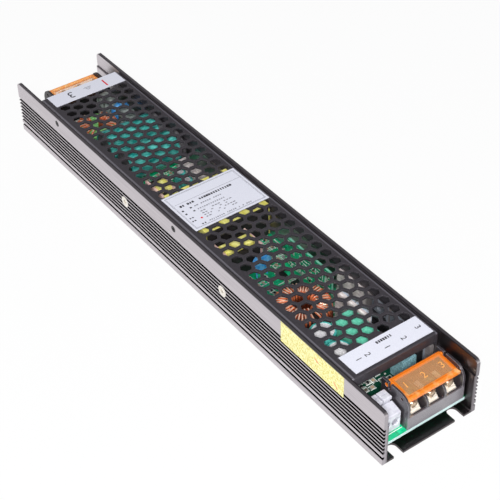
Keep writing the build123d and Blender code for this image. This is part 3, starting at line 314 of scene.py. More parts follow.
def finish(
    name, dark, light, roughness, metallic=0.0, coat=0.0, size=2.0, stretch=EVEN,
    bump=0.02, edge=0.15, highlight_tone=None, extra=None, index=1.5, on="",
):
    """Material with drifting colour and gloss, fine bump, softened edges and a painted edge highlight.
    Sizes are millimetres.
    """
    material, tree, shader = new_material(name)
    drift = use(tree, GRAIN, Size=size, Stretch=stretch, Detail=4.0)
    fine = use(tree, GRAIN, Size=size * 0.2, Stretch=stretch, Detail=2.0)
    colour = mix_colour(tree, remap(tree, drift, *COLOUR_DRIFT), dark, light)
    # A pale tone along sharp edges is a painted highlight.
    if highlight_tone:
        mask = use(tree, EDGE_HIGHLIGHT, Radius=edge * MM)
        highlit = calc(tree, "MULTIPLY", mask, remap(tree, fine, *FINE_DRIFT, 0.4, 1.0))
        colour = mix_colour(tree, highlit, colour, highlight_tone)
    if extra:
        colour = extra(tree, colour)
    feed(tree, shader.inputs["Base Color"], colour)
    gloss = [roughness * share for share in GLOSS_DRIFT]
    feed(tree, shader.inputs["Roughness"], remap(tree, fine, *FINE_DRIFT, *gloss))
    shader.inputs["Metallic"].default_value = metallic
    shader.inputs["IOR"].default_value = index
    shader.inputs["Coat Weight"].default_value = coat
    shader.inputs["Coat Roughness"].default_value = COAT_ROUGHNESS
    corner = rounded_normal(tree, edge * MM)
    relief = put(tree, "ShaderNodeBump", Height=fine, Distance=bump * MM, Normal=corner)
    feed(tree, shader.inputs["Normal"], relief.outputs[0])
    dress(material, on)
    return material


# %% [markdown]
# ## The metal case
# Black anodising is a thin dyed layer on aluminium. It still mirrors what stands beside it, which is why
# the upright walls look pale where they face the white floor, and the flat tops look nearly black. The
# die leaves fine lines along the extrusion, so the grain is stretched a long way in X. Painted shade
# darkens the grooves, the wall tops, the gap where the cover meets them, the floor inside, the output
# end, a line under the input ledge and the end faces, most on the far wall. The cover is painted sheet,
# darker and smoother, with a painted highlight where it turns down.

# %% Case and cover finishes
ALONG_X = (60.0, 1.0, 1.0)
GROOVE_SHADE_SKIN = (24.9, 26.48, 0.12)
GROOVES = {"X": (-156.2, 156.2), "Z": (2.9, 22.3)}
SEAM_SHADOW = (24.2, 25.2, 0.2)
SHADED_RIM = {"Z": (30.6, 32.0)}
SHADED_FLOOR_INSIDE = {"Y": (-24.1, 24.1), "Z": (-1.0, 1.7)}
SHADED_OUTPUT_END = {"X": (130.0, 160.0, 4.0), "Y": (-24.75, 24.75)}
SHADED_INPUT_LEDGE = {"X": (-158.0, -134.0), "Z": (21.7, 22.7), "Y": (23.5, 25.0)}
SHADED_END_FACES = (156.3, 158.0)
FAR_WALL, NEAR_WALL = (24.0, 28.0), (-28.0, -24.0)
BEND_HIGHLIGHT = (22.7, 23.7, 0.35)
BEND_HIGHLIGHT_HEIGHTS = (29.4, 31.0)

finish(
    "black_anodised", (190, 183, 188), (205, 199, 203), 0.36, metallic=1.0, size=0.5, stretch=ALONG_X,
    bump=0.006, edge=0.12, highlight_tone=(225, 220, 225), on="housing", extra=shaded(
        # Painted shade in the grooves.
        *mirrored(1.0, (22, 20, 22), GROOVE_SHADE_SKIN, **GROOVES),
        # Painted shade on the wall tops.
        (0.75, (145, 140, 146), SHADED_RIM),
        # Painted shadow in the gap where the cover meets the walls.
        *mirrored(0.8, (84, 80, 88), SEAM_SHADOW, **SHADED_RIM),
        # Painted shade on the floor inside.
        (0.94, (50, 52, 56), SHADED_FLOOR_INSIDE),
        # Painted shade inside the output end.
        (0.9, (84, 76, 78), SHADED_OUTPUT_END),
        # Painted shade in a line under the input ledge.
        (0.85, (84, 78, 84), SHADED_INPUT_LEDGE),
        # Painted shade on the end faces, deeper on the far wall.
        (0.8, (120, 115, 120), {"X": SHADED_END_FACES, "Y": FAR_WALL}),
        (0.6, (160, 156, 162), {"X": SHADED_END_FACES, "Y": NEAR_WALL}),
    ),
)
finish(
    "black_sheet", (72, 69, 74), (80, 76, 82), 0.36, metallic=0.45, size=1.2, bump=0.008, edge=0.25,
    highlight_tone=(120, 115, 122), on="perforated_cover",
    # A pale painted highlight where the cover turns down.
    extra=shaded(*mirrored(0.85, (136, 133, 142), BEND_HIGHLIGHT, Z=BEND_HIGHLIGHT_HEIGHTS)),
)

# %% [markdown]
# ## Bare metals
# Screws, standoffs, cans and heat-carrying plates are bare. A full mirror would show only the dark inside
# of the case, so most of them are only partly metallic, as dull drawn metal looks. The bar along the
# right wall carries painted shade under the output label, and the device tabs painted shade near the wall.

# %% Bare metal finishes
SHADE_UNDER_OUTPUT_LABEL = {"X": (86.0, 140.0, 2.0), "Y": (21.0, 24.0)}
SHADED_WALL_SIDE = {"Y": (15.0, 24.0, 0.5)}

finish(
    "bright_steel", (232, 226, 216), (250, 246, 238), 0.3, metallic=0.75, size=0.8, bump=0.004, edge=0.1,
    on="wall_screws wall_screw_nuts board_screws",
)
finish(
    "dark_steel", (38, 36, 38), (58, 55, 58), 0.35, metallic=0.8, size=0.6, bump=0.006, edge=0.1,
    on="cover_screws",
)
finish("plain_brass", (190, 160, 90), (214, 184, 112), 0.3, metallic=1.0, size=0.8, on="board_standoffs")
finish(
    "bare_aluminium", (214, 202, 202), (255, 246, 242), 0.45, size=1.1, stretch=(3.0, 1.0, 1.0),
    # Painted shade on the bar under the output label.
    bump=0.01, edge=0.3, highlight_tone=(255, 254, 250), extra=shaded((0.85, (74, 70, 72), SHADE_UNDER_OUTPUT_LABEL)),
    on="wall_heat_bar heat_spreader finned_heat_sink",
)
finish(
    "tab_metal", (204, 218, 236), (236, 244, 254), 0.3, metallic=0.2, size=0.8, bump=0.005,
    # Painted shade on the tabs near the right wall.
    extra=shaded((0.75, (70, 72, 80), SHADED_WALL_SIDE)), on="output_device_tabs",
)
finish(
    "drawn_aluminium", (222, 218, 222), (255, 254, 255), 0.26, metallic=0.2, size=0.9, bump=0.012,
    edge=0.3, on="driver_capacitor_cans output_capacitor_cans",
)
finish("dull_can", (96, 94, 98), (128, 126, 130), 0.4, metallic=0.3, size=1.2, on="bulk_capacitor_cans")

# %% [markdown]
# ## Plastics
# The terminal bodies are black glass-filled plastic with a fine spark-eroded skin. The front of the
# output one is painted grey, a painted reflection of the white floor that lies before it, and the input
# one is a darker copy of the same plastic, painted in shade. The push terminal is white, with painted grey
# shade in its round wire entries. The component boxes are moulded in grey, jade and pale cyan. All of
# them use the common recipe with a small grain and a soft edge.

# %% Terminal plastics
FRONT_FLOOR_REFLECTION = {"X": (151.6, 153.5), "Z": (5.0, 14.0, 0.5)}
ENTRY_Z = (9.4, 13.2)
ENTRY_BACK = 140.0
BESIDE_ENTRIES = 0.9
FRONT_SKIN = 0.25
low, high = in_mm(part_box("signal_terminal_body"))
ENTRY_Y = (low.y + BESIDE_ENTRIES, high.y - BESIDE_ENTRIES)
SHADED_WIRE_ENTRIES = {"Y": ENTRY_Y, "Z": ENTRY_Z, "X": (ENTRY_BACK, high.x - FRONT_SKIN)}

finish(
    "black_moulding", (44, 40, 44), (60, 55, 60), 0.3, size=0.5, bump=0.01, edge=0.3,
    # The pale front is a painted reflection of the white floor.
    highlight_tone=(196, 192, 206), index=2.05, extra=shaded((0.85, (128, 124, 130), FRONT_FLOOR_REFLECTION)),
    on="output_terminal_body",
)
# The input terminal's body is a darker copy of the same black plastic, painted in shade, with a fainter
# painted edge highlight.
finish(
    "shaded_black_moulding", (32, 29, 32), (44, 40, 43), 0.4, size=0.5, bump=0.01, edge=0.25, highlight_tone=(92, 88, 94),
    on="input_terminal_body",
)
finish(
    "white_plastic", (206, 205, 216), (222, 222, 230), 0.34, coat=0.1, size=1.5, bump=0.006, edge=0.3,
    # Painted grey shade inside the round wire entries.
    extra=shaded((0.6, (120, 118, 132), SHADED_WIRE_ENTRIES)),
    on="signal_terminal_body signal_lever_left signal_lever_right",
)

# %% Component plastics
finish(
    "chip_black", (24, 24, 26), (36, 36, 38), 0.42, size=0.3,
    on="bridge_rectifier control_chips output_devices wall_transistors",
)
finish("grey_box", (84, 98, 92), (206, 216, 212), 0.45, size=3.0, on="line_capacitors")
finish(
    "jade_box", (88, 198, 164), (128, 224, 194), 0.36, coat=0.2, size=0.9, bump=0.04, edge=0.3,
    on="film_capacitor",
)
finish("cyan_box", (84, 122, 130), (150, 194, 204), 0.4, size=0.6, on="filter_capacitor")
finish(
    "blue_dip", (64, 160, 248), (120, 200, 255), 0.24, coat=0.5, size=1.5, bump=0.03, edge=0.4,
    on="surge_varistor safety_capacitor",
)
finish(
    "peach_former", (232, 190, 188), (248, 214, 200), 0.5, size=2.5, bump=0.015,
    on="driver_transformer_former second_transformer_former",
)

# %% [markdown]
# ## Cores, fuse, film and pads
# Ferrite is a dull black ceramic, and the line choke's ring has a glossy green lacquer. The fuse is a
# ceramic tube, milky film lies on the floor, and grey pads part the transistors from the wall.

# %% Finishes of the small kinds
finish(
    "ferrite", (34, 31, 32), (52, 47, 47), 0.5, metallic=0.2, size=0.5, bump=0.03,
    on="main_transformer_core driver_transformer_core second_transformer_core storage_choke_core",
)
finish(
    "green_core", (120, 214, 124), (184, 246, 160), 0.25, coat=0.4, size=1.6, edge=0.4,
    on="line_choke_core",
)
finish("fuse_tube", (205, 200, 190), (225, 220, 210), 0.3, coat=0.2, size=0.8, on="input_fuse")
finish("milky_film", (190, 190, 182), (205, 205, 198), 0.4, size=3.0, on="insulation_sheet")
finish("grey_pad", (110, 114, 118), (128, 132, 136), 0.7, size=0.4, bump=0.03, on="wall_transistor_pads")

# %% [markdown]
# ## Tinned parts and copper
# The clamps are stamped and tinned, a creamy white metal that is not quite a mirror. The chokes are wound
# with enamelled wire, metal under a clear varnish. Deep in the winding it looks dark red, because the
# light comes to it only from its neighbours, and each turn's upper side is pale where it mirrors the
# lamp. Neither shows well through small holes, so both are tones: one by height, one by direction.

# %% Tinned and copper finishes
SHINY_FROM, SHINY_AT = 0.80, 0.97
ABOVE_THE_WIRE = 9.0

finish(
    "tin_plate", (240, 230, 216), (255, 250, 240), 0.36, metallic=0.3, size=0.5, bump=0.01,
    on="output_terminal_clamps input_terminal_clamps output_terminal_contacts input_terminal_contacts",
)
finish(
    "plated_screw_head", (176, 150, 126), (222, 202, 176), 0.3, metallic=0.8, size=0.7, bump=0.008,
    edge=0.2, highlight_tone=(250, 240, 224), on="output_terminal_screws input_terminal_screws",
)


def copper_finish(name, deep, top):
    """Enamelled wire, with painted shade that makes it deep brown low in the winding and a painted
    highlight on each turn's upper side.
    """
    def depth_and_shine(tree, colour):
        lit = band(tree, "Z", deep, top + ABOVE_THE_WIRE, top - deep)
        shine = remap(tree, surface_direction(tree)["Z"], SHINY_FROM, SHINY_AT)
        below = calc(tree, "SUBTRACT", 1.0, lit)
        return toned(tree, colour, [(shine, 0.95, (255, 236, 214)), (below, 0.92, (88, 34, 20))])

    return finish(
        name, (238, 110, 66), (252, 152, 104), 0.28, metallic=0.15, coat=0.8, size=2.5, bump=0.004,
        edge=0.1, extra=depth_and_shine,
    )


storage_copper = copper_finish("storage_copper", deep=18.2, top=20.9)
line_copper = copper_finish("line_copper", deep=11.0, top=16.8)

# %% [markdown]
# ## Capacitor sleeves
# The sleeves are teal shrink film with a pale stripe that marks the negative side. The two large cans lie
# across the case, so the stripe is a band in X. It shows on the first of them, and lies underneath on the
# other.

# %% Sleeve finishes
TEAL = ((12, 132, 126), (104, 208, 198))
STRIPE_X = (-82.6, -81.1, 0.3)

finish(
    "teal_sleeve", *TEAL, 0.22, coat=0.5, size=1.7, stretch=(1.0, 2.5, 1.0), bump=0.05, edge=0.5,
    extra=shaded((1.0, (226, 206, 130), {"X": STRIPE_X})), on="bulk_capacitor_sleeves",
)
finish(
    "small_sleeve", *TEAL, 0.24, coat=0.4, size=1.5, edge=0.4,
    on="driver_capacitor_sleeves output_capacitor_sleeves",
)

# %% [markdown]
# ## Transformer tape
# The transformers are wrapped in yellow polyester tape. It is thin and a little clear, with faint
# overlaps where each turn ends, so the bump is stretched along the wrap and the coat is glossy.

# %% Tape finish
finish(
    "yellow_tape", (236, 226, 104), (252, 247, 160), 0.3, coat=0.35, size=2.2, stretch=(6.0, 1.0, 1.0),
    bump=0.05, edge=0.4,
    on="main_transformer_tape main_transformer_coil second_transformer_coil driver_transformer_coil",
)

# %% [markdown]
# ## Circuit boards
# Solder mask is a glossy green varnish. Where copper runs under it the green is lighter, and the sawn
# edge of the board shows the pale glass laminate. The tracks are a Voronoi pattern with straight-sided
# cells, mixed in weakly, and the edge is found from the direction of the surface. Under the cover's last
# few centimetres the board is in deep shade.

# %% Board finishes
TRACKS_PER_METRE = 170.0
TRACK_EDGE = (0.42, 0.46)
DEEP_SHADE_X = (112.0, 134.5, 2.0)
TURNED_ASIDE = (0.6, 0.4)


def board_look(across, sawn):
    """Tracks, shade and a sawn edge of a given tone. Across is the board's thin direction."""
    def detail(tree, colour):
        cells = put(
            tree, "ShaderNodeTexVoronoi", {"feature": "F1", "distance": "CHEBYCHEV"}, Vector=here(tree),
            Scale=TRACKS_PER_METRE,
        )
        tracks = remap(tree, cells.outputs["Distance"], *TRACK_EDGE)
        flat = calc(tree, "ABSOLUTE", surface_direction(tree)[across])
        return toned(tree, colour, [
            (tracks, 0.55, (4, 132, 88)),
            (band(tree, "X", *DEEP_SHADE_X), 0.92, (8, 46, 37)),
            (remap(tree, flat, *TURNED_ASIDE), 1.0, sawn),
        ])

    return detail


for name, node, look in (
    ("board_green", "main_board", board_look("Z", (206, 232, 230))),
    ("card_green", "control_board", board_look("Y", (124, 196, 170))),
):
    finish(name, (2, 184, 124), (36, 216, 152), 0.3, coat=0.15, size=4.0, bump=0.01, extra=look, on=node)

# %% [markdown]
# ## Labels
# The cover's labels are bluish white film and the sticker on the wall is pale yellow paper with a coarse
# mottle and two faint red strokes. A stroke is the narrow space round a slanting line: the mask is white
# where a point's distance from the line, measured upright, is small. The print on the film is made later
# as thin raised plates and plain numerals.

# %% Label finishes
STROKES = ((110.1, 27.0, 113.0, 25.7), (123.1, 23.3, 126.2, 20.6))
STROKE_HALF = 0.3

finish("label_film", (222, 223, 235), (232, 233, 243), 0.34, size=0.35, bump=0.008, on="cover_labels")


def sticker_strokes(tree, colour):
    """Faint red strokes on the paper, each from one x and z to another in millimetres."""
    _, minus, times, _ = sums(tree)
    spot = parted(tree, here(tree))
    for x0, z0, x1, z1 in STROKES:
        slope = (z1 - z0) / (x1 - x0)
        above = minus(minus(spot["Z"], times(spot["X"], slope)), (z0 - slope * x0) * MM)
        near = remap(tree, calc(tree, "ABSOLUTE", above), 2.0 * STROKE_HALF * MM, STROKE_HALF * MM)
        stroke = crossing(tree, near, band(tree, "X", x0, x1, 0.3))
        colour = toned(tree, colour, [(stroke, 0.95, (232, 136, 96))])
    return colour


sticker_paper = finish(
    "sticker_paper", (216, 204, 104), (252, 248, 192), 0.5, size=0.8, bump=0.015, extra=sticker_strokes,
    on="side_sticker",
)

# %% [markdown]
# ## Clear orange lids
# The lids are tinted clear plastic. Light passes through the thin middle, so the terminal under it shows
# in brown, while the thick raised frame looks a full orange. The shader is partly transmissive and partly
# see-through by its alpha, because light then reaches the terminal under it without slow caustics. The
# frame has a fuller tint, and the lid a faint painted glow, strongest on the frame, where a real lid
# gathers light along its thick edges. A moulded groove runs round the frame, pale glints are painted in
# a pattern of slow waves near the free edge, and a painted highlight runs along the edges.

# %% Lid finish
LID_FRAME = 2.2
LID_GROOVE = 1.2
LID_GROOVE_WIDTH = 0.35
LID_PIN = 1.0
LID_EDGE = 0.25
GLINTS_WITHIN, GLINTS_BEYOND, GLINTS_SOFT = 7.5, 5.0, 4.5
FRAME_ALPHA, MIDDLE_ALPHA = 0.86, 0.4
GLINT_PATTERN_TOPS = (0.5, 0.66)
LID_GLOSS = (0.05, 0.12)
PAINTED_LID_GLOW = 0.1
LID_CLEARNESS = 0.35
ACRYLIC_INDEX = 1.49


def lid_finish(name, node, rim, free_edge):
    """Tinted clear plastic, fuller in colour round its middle. The free edge is 1 or -1 along X."""
    material, tree, shader = new_material(name)
    low, high = in_mm(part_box(node))

    def inside(frame, soft):
        side = frame + LID_PIN
        return zone(tree, X=(low.x + frame, high.x - frame, soft), Y=(low.y + side, high.y - side, soft))

    middle = inside(LID_FRAME, 0.2)
    groove = calc(tree, "SUBTRACT", inside(LID_GROOVE, 0.1), inside(LID_GROOVE + LID_GROOVE_WIDTH, 0.1))
    fine = use(tree, GRAIN, Size=0.8, Stretch=EVEN, Detail=3.0)
    # A pale tone along the lid's edges is a painted highlight.
    highlit = use(tree, EDGE_HIGHLIGHT, Radius=LID_EDGE * MM)
    # Pale glints near the free edge are a painted highlight, laid on a pattern of slow waves.
    glint_pattern = remap(tree, use(tree, GRAIN, Size=3.2, Stretch=EVEN, Detail=4.0), *GLINT_PATTERN_TOPS)
    if free_edge > 0:
        reach = (high.x - GLINTS_WITHIN, high.x + GLINTS_BEYOND)
    else:
        reach = (low.x - GLINTS_BEYOND, low.x + GLINTS_WITHIN)
    painted_glints = crossing(tree, glint_pattern, band(tree, "X", *reach, GLINTS_SOFT))
    base = toned(tree, mix_colour(tree, middle, rim, (250, 190, 132)), [
        (highlit, 0.7, (255, 218, 158)), (groove, 0.7, (216, 92, 10)), (painted_glints, 0.75, (255, 226, 160)),
    ])
    feed(tree, shader.inputs["Base Color"], base)
    feed(tree, shader.inputs["Alpha"], remap(tree, middle, 0.0, 1.0, FRAME_ALPHA, MIDDLE_ALPHA))
    # The lid's emission is a painted glow, fuller orange on the frame.
    feed(tree, shader.inputs["Emission Color"], mix_colour(tree, middle, (255, 138, 30), (176, 122, 78)))
    shader.inputs["Emission Strength"].default_value = PAINTED_LID_GLOW
    feed(tree, shader.inputs["Roughness"], remap(tree, fine, *FINE_DRIFT, *LID_GLOSS))
    shader.inputs["IOR"].default_value = ACRYLIC_INDEX
    shader.inputs["Transmission Weight"].default_value = LID_CLEARNESS
    feed(tree, shader.inputs["Normal"], rounded_normal(tree, LID_EDGE * MM))
    dress(material, node)


lid_finish("orange_lid_output", "output_terminal_lid", (255, 150, 44), 1)
# The input lid's frame is given a lighter tone: a painted highlight.
lid_finish("orange_lid_input", "input_terminal_lid", (255, 190, 104), -1)
lid_relief = finish("lid_relief", (246, 170, 92), (252, 190, 116), 0.3, coat=0.4, size=0.8, bump=0.004)

# %% [markdown]
# ## Geometry trees
# A winding, a field of chips or rows of print follow a rule, so they are grown by Geometry Nodes. Each
# tree is built once with named inputs. A helper gives it its values, keeps the result as a plain mesh and
# throws the maker away, because a piece has to be a finished mesh before it joins the model.

# %% Helpers for pieces
def mesh_of(name, whole, *materials):
    """Plain mesh of a bmesh, which is freed."""
    mesh = bpy.data.meshes.new(name)
    whole.to_mesh(mesh)
    whole.free()
    mesh.materials.clear()
    for material in materials:
        mesh.materials.append(material)
    return mesh


def in_scene(name, data):
    """New object in the scene."""
    made = bpy.data.objects.new(name, data)
    bpy.context.collection.objects.link(made)
    return made


def add_piece(name, mesh, body="chassis"):
    """Put a finished mesh in the scene as a piece that rides on a body."""
    mesh.name = name
    piece = in_scene(name, mesh)
    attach(piece, body)
    mesh.calc_loop_triangles()
    print(name, "has", len(mesh.loop_triangles), "triangles")
    return piece


def plain_mesh(maker):
    """Plain mesh of an object with its modifiers or text worked out; the object itself is removed."""
    bpy.context.view_layer.update()
    mesh = bpy.data.meshes.new_from_object(maker.evaluated_get(bpy.context.evaluated_depsgraph_get()))
    bpy.data.objects.remove(maker)
    return mesh


# %% Helpers for geometry trees
def end_with(tree, result, geometry, material):
    """Last two nodes of every tree: real meshes for the instances, and their finish."""
    real = put(tree, "GeometryNodeRealizeInstances", Geometry=geometry)
    done = put(tree, "GeometryNodeSetMaterial", Geometry=real.outputs[0], Material=material)
    tree.links.new(done.outputs[0], result)


def grow(name, tree, slot=None, **values):
    """Run a geometry tree with these values, and keep what it makes as a piece."""
    maker = in_scene(name + "_maker", bpy.data.meshes.new(name + "_maker"))
    modifier = maker.modifiers.new("tree", "NODES")
    modifier.node_group = tree
    named = {item.name: item.identifier for item in tree.interface.items_tree if item.in_out == "INPUT"}
    for label, value in values.items():
        modifier[named[label]] = value
    return add_piece(name, plain_mesh(maker))


# %% [markdown]
# ## Wound chokes
# Each choke is one thick enamelled wire wound round a ring. The solid model has plain square turns, and
# here the wire follows a rule instead. A point runs round a rounded square while it also walks round the
# ring, and the curve through all the points gets a round profile. On the crowded inner side of the
# storage choke every second turn lies on its neighbours, as in a real winding.

# %% Tree: wire wound on a ring
POINTS_PER_TURN = 36
WIRE_SIDES = 10
SQUARENESS = 0.42
LIFT_SPEED = 3.0


def build_winding_tree():
    tree, given, result = new_tree(
        "Geometry", "ring_winding", "Geometry", Vector="Centre", Int="Turns", Material="Material",
        Float="Start Sweep Inner Outer Low High Wire Lift",
    )
    plus, minus, times, over = sums(tree)

    def rounded(wave):
        """Flatten a wave's top, which turns a circle into a rounded square."""
        size = calc(tree, "POWER", calc(tree, "ABSOLUTE", wave), SQUARENESS)
        return times(calc(tree, "SIGN", wave), size)

    def between(low, high, share):
        middle = times(plus(given[low], given[high]), 0.5)
        half = times(minus(given[high], given[low]), 0.5)
        return plus(middle, times(half, share))

    turn = over(tree.nodes.new("GeometryNodeInputIndex").outputs[0], POINTS_PER_TURN)
    angle = minus(times(turn, math.tau), math.pi / 4)
    out, rise = calc(tree, "COSINE", angle), calc(tree, "SINE", angle)
    odd = calc(tree, "MODULO", calc(tree, "FLOOR", turn), 2.0)
    inward = calc(tree, "MINIMUM", calc(tree, "MAXIMUM", times(out, -LIFT_SPEED), 0.0), 1.0)
    lift = times(times(odd, inward), given["Lift"])
    radius = minus(between("Inner", "Outer", rounded(out)), lift)
    upward = times(lift, calc(tree, "MAXIMUM", rounded(rise), 0.0))
    height = plus(between("Low", "High", rounded(rise)), upward)
    round_ring = plus(given["Start"], times(given["Sweep"], over(turn, given["Turns"])))
    across = times(radius, calc(tree, "COSINE", round_ring))
    along = times(radius, calc(tree, "SINE", round_ring))
    place = put(tree, "ShaderNodeCombineXYZ", X=across, Y=along, Z=height)
    moved = vector_calc(tree, "ADD", place.outputs[0], given["Centre"])

    count = plus(times(given["Turns"], POINTS_PER_TURN), 1.0)
    line = put(tree, "GeometryNodeMeshLine", Count=count)
    laid = put(tree, "GeometryNodeSetPosition", Geometry=line.outputs[0], Position=moved)
    curve = put(tree, "GeometryNodeMeshToCurve", Mesh=laid.outputs[0])
    profile = put(tree, "GeometryNodeCurvePrimitiveCircle", Resolution=WIRE_SIDES, Radius=given["Wire"])
    tube = put(
        tree, "GeometryNodeCurveToMesh", Curve=curve.outputs[0], Profile_Curve=profile.outputs[0],
        Fill_Caps=True,
    )
    smooth = put(tree, "GeometryNodeSetShadeSmooth", Geometry=tube.outputs[0])
    end_with(tree, result, smooth.outputs[0], given["Material"])
    return tree


WINDING = build_winding_tree()

# %% Wind the two chokes
STORAGE_WIRE = 1.06
STORAGE_INNER = 6.1
STORAGE_TURNS = 44
STORAGE_SWEEP = 360.0 - 360.0 / STORAGE_TURNS
LINE_WIRE = 1.3
LINE_INNER = 4.95
LINE_TURNS = 9
LINE_TURN_STEP = 15.0
LINE_SWEEP = LINE_TURNS * LINE_TURN_STEP
LINE_CHOKE_TURNED = 78.0


def ring_sizes(core, winding, wire):
    """Centre, and the wire's own path, from the boxes of a core and of its plain winding. Metres."""
    low, high = map(Vector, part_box(winding))
    middle = (low + high) / 2
    core_low, core_high = map(Vector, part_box(core))
    outer = (core_high.x - core_low.x) / 2 + wire / 2
    return Vector((middle.x, middle.y, 0.0)), outer, low.z + wire / 2, high.z - wire / 2


def wind(name, core, winding, copper, wire, inner, turns, start, sweep, lift=0.0):
    """Piece of wire round a ring; sizes are millimetres and angles degrees."""
    centre, outer, low, high = ring_sizes(core, winding, wire * MM)
    return grow(
        name, WINDING, "copper_wire", Centre=centre, Turns=turns, Start=math.radians(start),
        Sweep=math.radians(sweep), Inner=inner * MM, Outer=outer, Low=low, High=high,
        Wire=wire / 2 * MM, Lift=lift * MM, Material=copper,
    )


storage_wire = wind(
    "storage_choke_wire", "storage_choke_core", "storage_choke_winding", storage_copper, STORAGE_WIRE,
    STORAGE_INNER, STORAGE_TURNS, 0.0, STORAGE_SWEEP, STORAGE_WIRE,
)
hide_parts("storage_choke_winding")

line_wires = [
    wind(
        f"line_choke_wire_{side}", "line_choke_core", "line_choke_windings", line_copper, LINE_WIRE,
        LINE_INNER, LINE_TURNS, LINE_CHOKE_TURNED + turned - LINE_SWEEP / 2, LINE_SWEEP,
    )
    for side, turned in zip("ab", (0.0, 180.0))
]
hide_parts("line_choke_windings")

# %% [markdown]
# ## Small parts on the board
# Between the large components the real board carries many chip parts a few millimetres long, their solder
# pads, and white printed marks. Points of a grid are moved a little at random, those near a solid part are
# thrown out with Geometry Proximity, and a small part is set on each of the rest. The same seed gives the
# same points again, so bodies, ends and printed marks stay together.

# %% What stands on the board already
OPEN_PARTS = (
    "housing", "perforated_cover", "main_board", "insulation_sheet", "cover_labels", "side_sticker",
)


def joined_parts(name, left_out):
    """One object of every part but some, used only to keep a distance from."""
    whole = bmesh.new()
    for node, part in parts.items():
        if node not in left_out:
            whole.from_mesh(part.data)
    return in_scene(name, mesh_of(name, whole))


round_board = joined_parts("round_board", OPEN_PARTS)
round_card = joined_parts("round_card", ("control_board",))

# %% Tree: parts scattered on a board
def random_value(tree, kind, seed, **limits):
    return put(tree, "FunctionNodeRandomValue", {"data_type": kind}, Seed=seed, **limits).outputs


def set_on(tree, points, form, **inputs):
    """Instances of one form on points."""
    node = put(tree, "GeometryNodeInstanceOnPoints", Points=points, Instance=form, **inputs)
    return node.outputs[0]


def build_scatter_tree(name, domed):
    tree, given, result = new_tree(
        "Geometry", name, "Geometry", Vector="Middle Turned Area Apart Part", Material="Material",
        Int="Columns Rows Copies Seed", Float="Jitter Share Clearance", Object="Obstacles",
    )
    plus, _, times, _ = sums(tree)
    area = parted(tree, given["Area"])
    grid = put(
        tree, "GeometryNodeMeshGrid", Size_X=area[0], Size_Y=area[1], Vertices_X=given["Columns"],
        Vertices_Y=given["Rows"],
    )
    wander = random_value(
        tree, "FLOAT_VECTOR", given["Seed"], in_0=(-1.0, -1.0, 0.0), in_1=(1.0, 1.0, 0.0),
    )
    step = vector_calc(tree, "SCALE", wander[0], given["Jitter"])
    moved = put(tree, "GeometryNodeSetPosition", Geometry=grid.outputs[0], Offset=step)
    points = put(
        tree, "GeometryNodeTransform", Geometry=moved.outputs[0], Rotation=given["Turned"],
        Translation=given["Middle"],
    )

    solid = put(tree, "GeometryNodeObjectInfo", Object=given["Obstacles"])
    near = put(tree, "GeometryNodeProximity", {"target_element": "FACES"}, in_0=solid.outputs["Geometry"])
    close = calc(tree, "LESS_THAN", near.outputs["Distance"], given["Clearance"])
    chance = random_value(tree, "FLOAT", plus(given["Seed"], 1.0))[1]
    unwanted = calc(tree, "MAXIMUM", close, calc(tree, "GREATER_THAN", chance, given["Share"]))
    kept = put(tree, "GeometryNodeDeleteGeometry", Geometry=points.outputs[0], Selection=unwanted)

    quarter = random_value(tree, "INT", plus(given["Seed"], 2.0), in_4=0, in_5=1)[2]
    spun = put(tree, "ShaderNodeCombineXYZ", Z=times(quarter, math.pi / 2))
    if domed:
        form = put(tree, "GeometryNodeMeshUVSphere", Segments=8, Rings=5, Radius=0.5)
        shape = put(tree, "GeometryNodeSetShadeSmooth", Geometry=form.outputs[0])
    else:
        shape = put(tree, "GeometryNodeMeshCube", Size=(1.0, 1.0, 1.0))
    back = vector_calc(tree, "SCALE", given["Apart"], -0.5)
    pair = put(
        tree, "GeometryNodeMeshLine", Count=given["Copies"], Start_Location=back,
        Offset=given["Apart"],
    )
    single = set_on(tree, pair.outputs[0], shape.outputs[0], Scale=given["Part"])
    placed = set_on(tree, kept.outputs[0], single, Rotation=given["Turned"])
    quartered = put(tree, "GeometryNodeRotateInstances", Instances=placed, Rotation=spun.outputs[0])
    end_with(tree, result, quartered.outputs[0], given["Material"])
    return tree


BLOCKS = build_scatter_tree("scattered_blocks", False)
DOMES = build_scatter_tree("scattered_domes", True)

# %% Finishes of the small parts
TONES_PER_METRE = 260.0
TAN_FROM, GREY_FROM = (0.45, 0.47), (0.72, 0.74)


def chip_colours(tree, colour):
    """Black, tan and grey chip parts, one tone to each few millimetres of board."""
    cells = put(tree, "ShaderNodeTexVoronoi", Vector=here(tree), Scale=TONES_PER_METRE)
    tone = put(tree, "ShaderNodeSeparateColor", Color=cells.outputs["Color"]).outputs[0]
    colour = mix_colour(tree, remap(tree, tone, *TAN_FROM), colour, (196, 170, 140))
    return mix_colour(tree, remap(tree, tone, *GREY_FROM), colour, (150, 158, 156))


chip_part = finish(
    "chip_part_body", (34, 33, 36), (48, 46, 50), 0.4, size=0.6, bump=0.01, extra=chip_colours,
)
solder = finish("solder", (214, 212, 206), (248, 246, 240), 0.28, metallic=0.6, size=0.5)
board_print = finish("white_board_print", (236, 246, 240), (250, 255, 252), 0.6, size=0.4, bump=0.01)

# %% Scatter the small parts
BOARD_TOP = 6.7
BOARD_SEED, CARD_SEED = 11, 23
EDGE_MARGIN = 2.5
SPACING = 3.1
JITTER = 0.3
TERMINAL_STRIP = 26.0
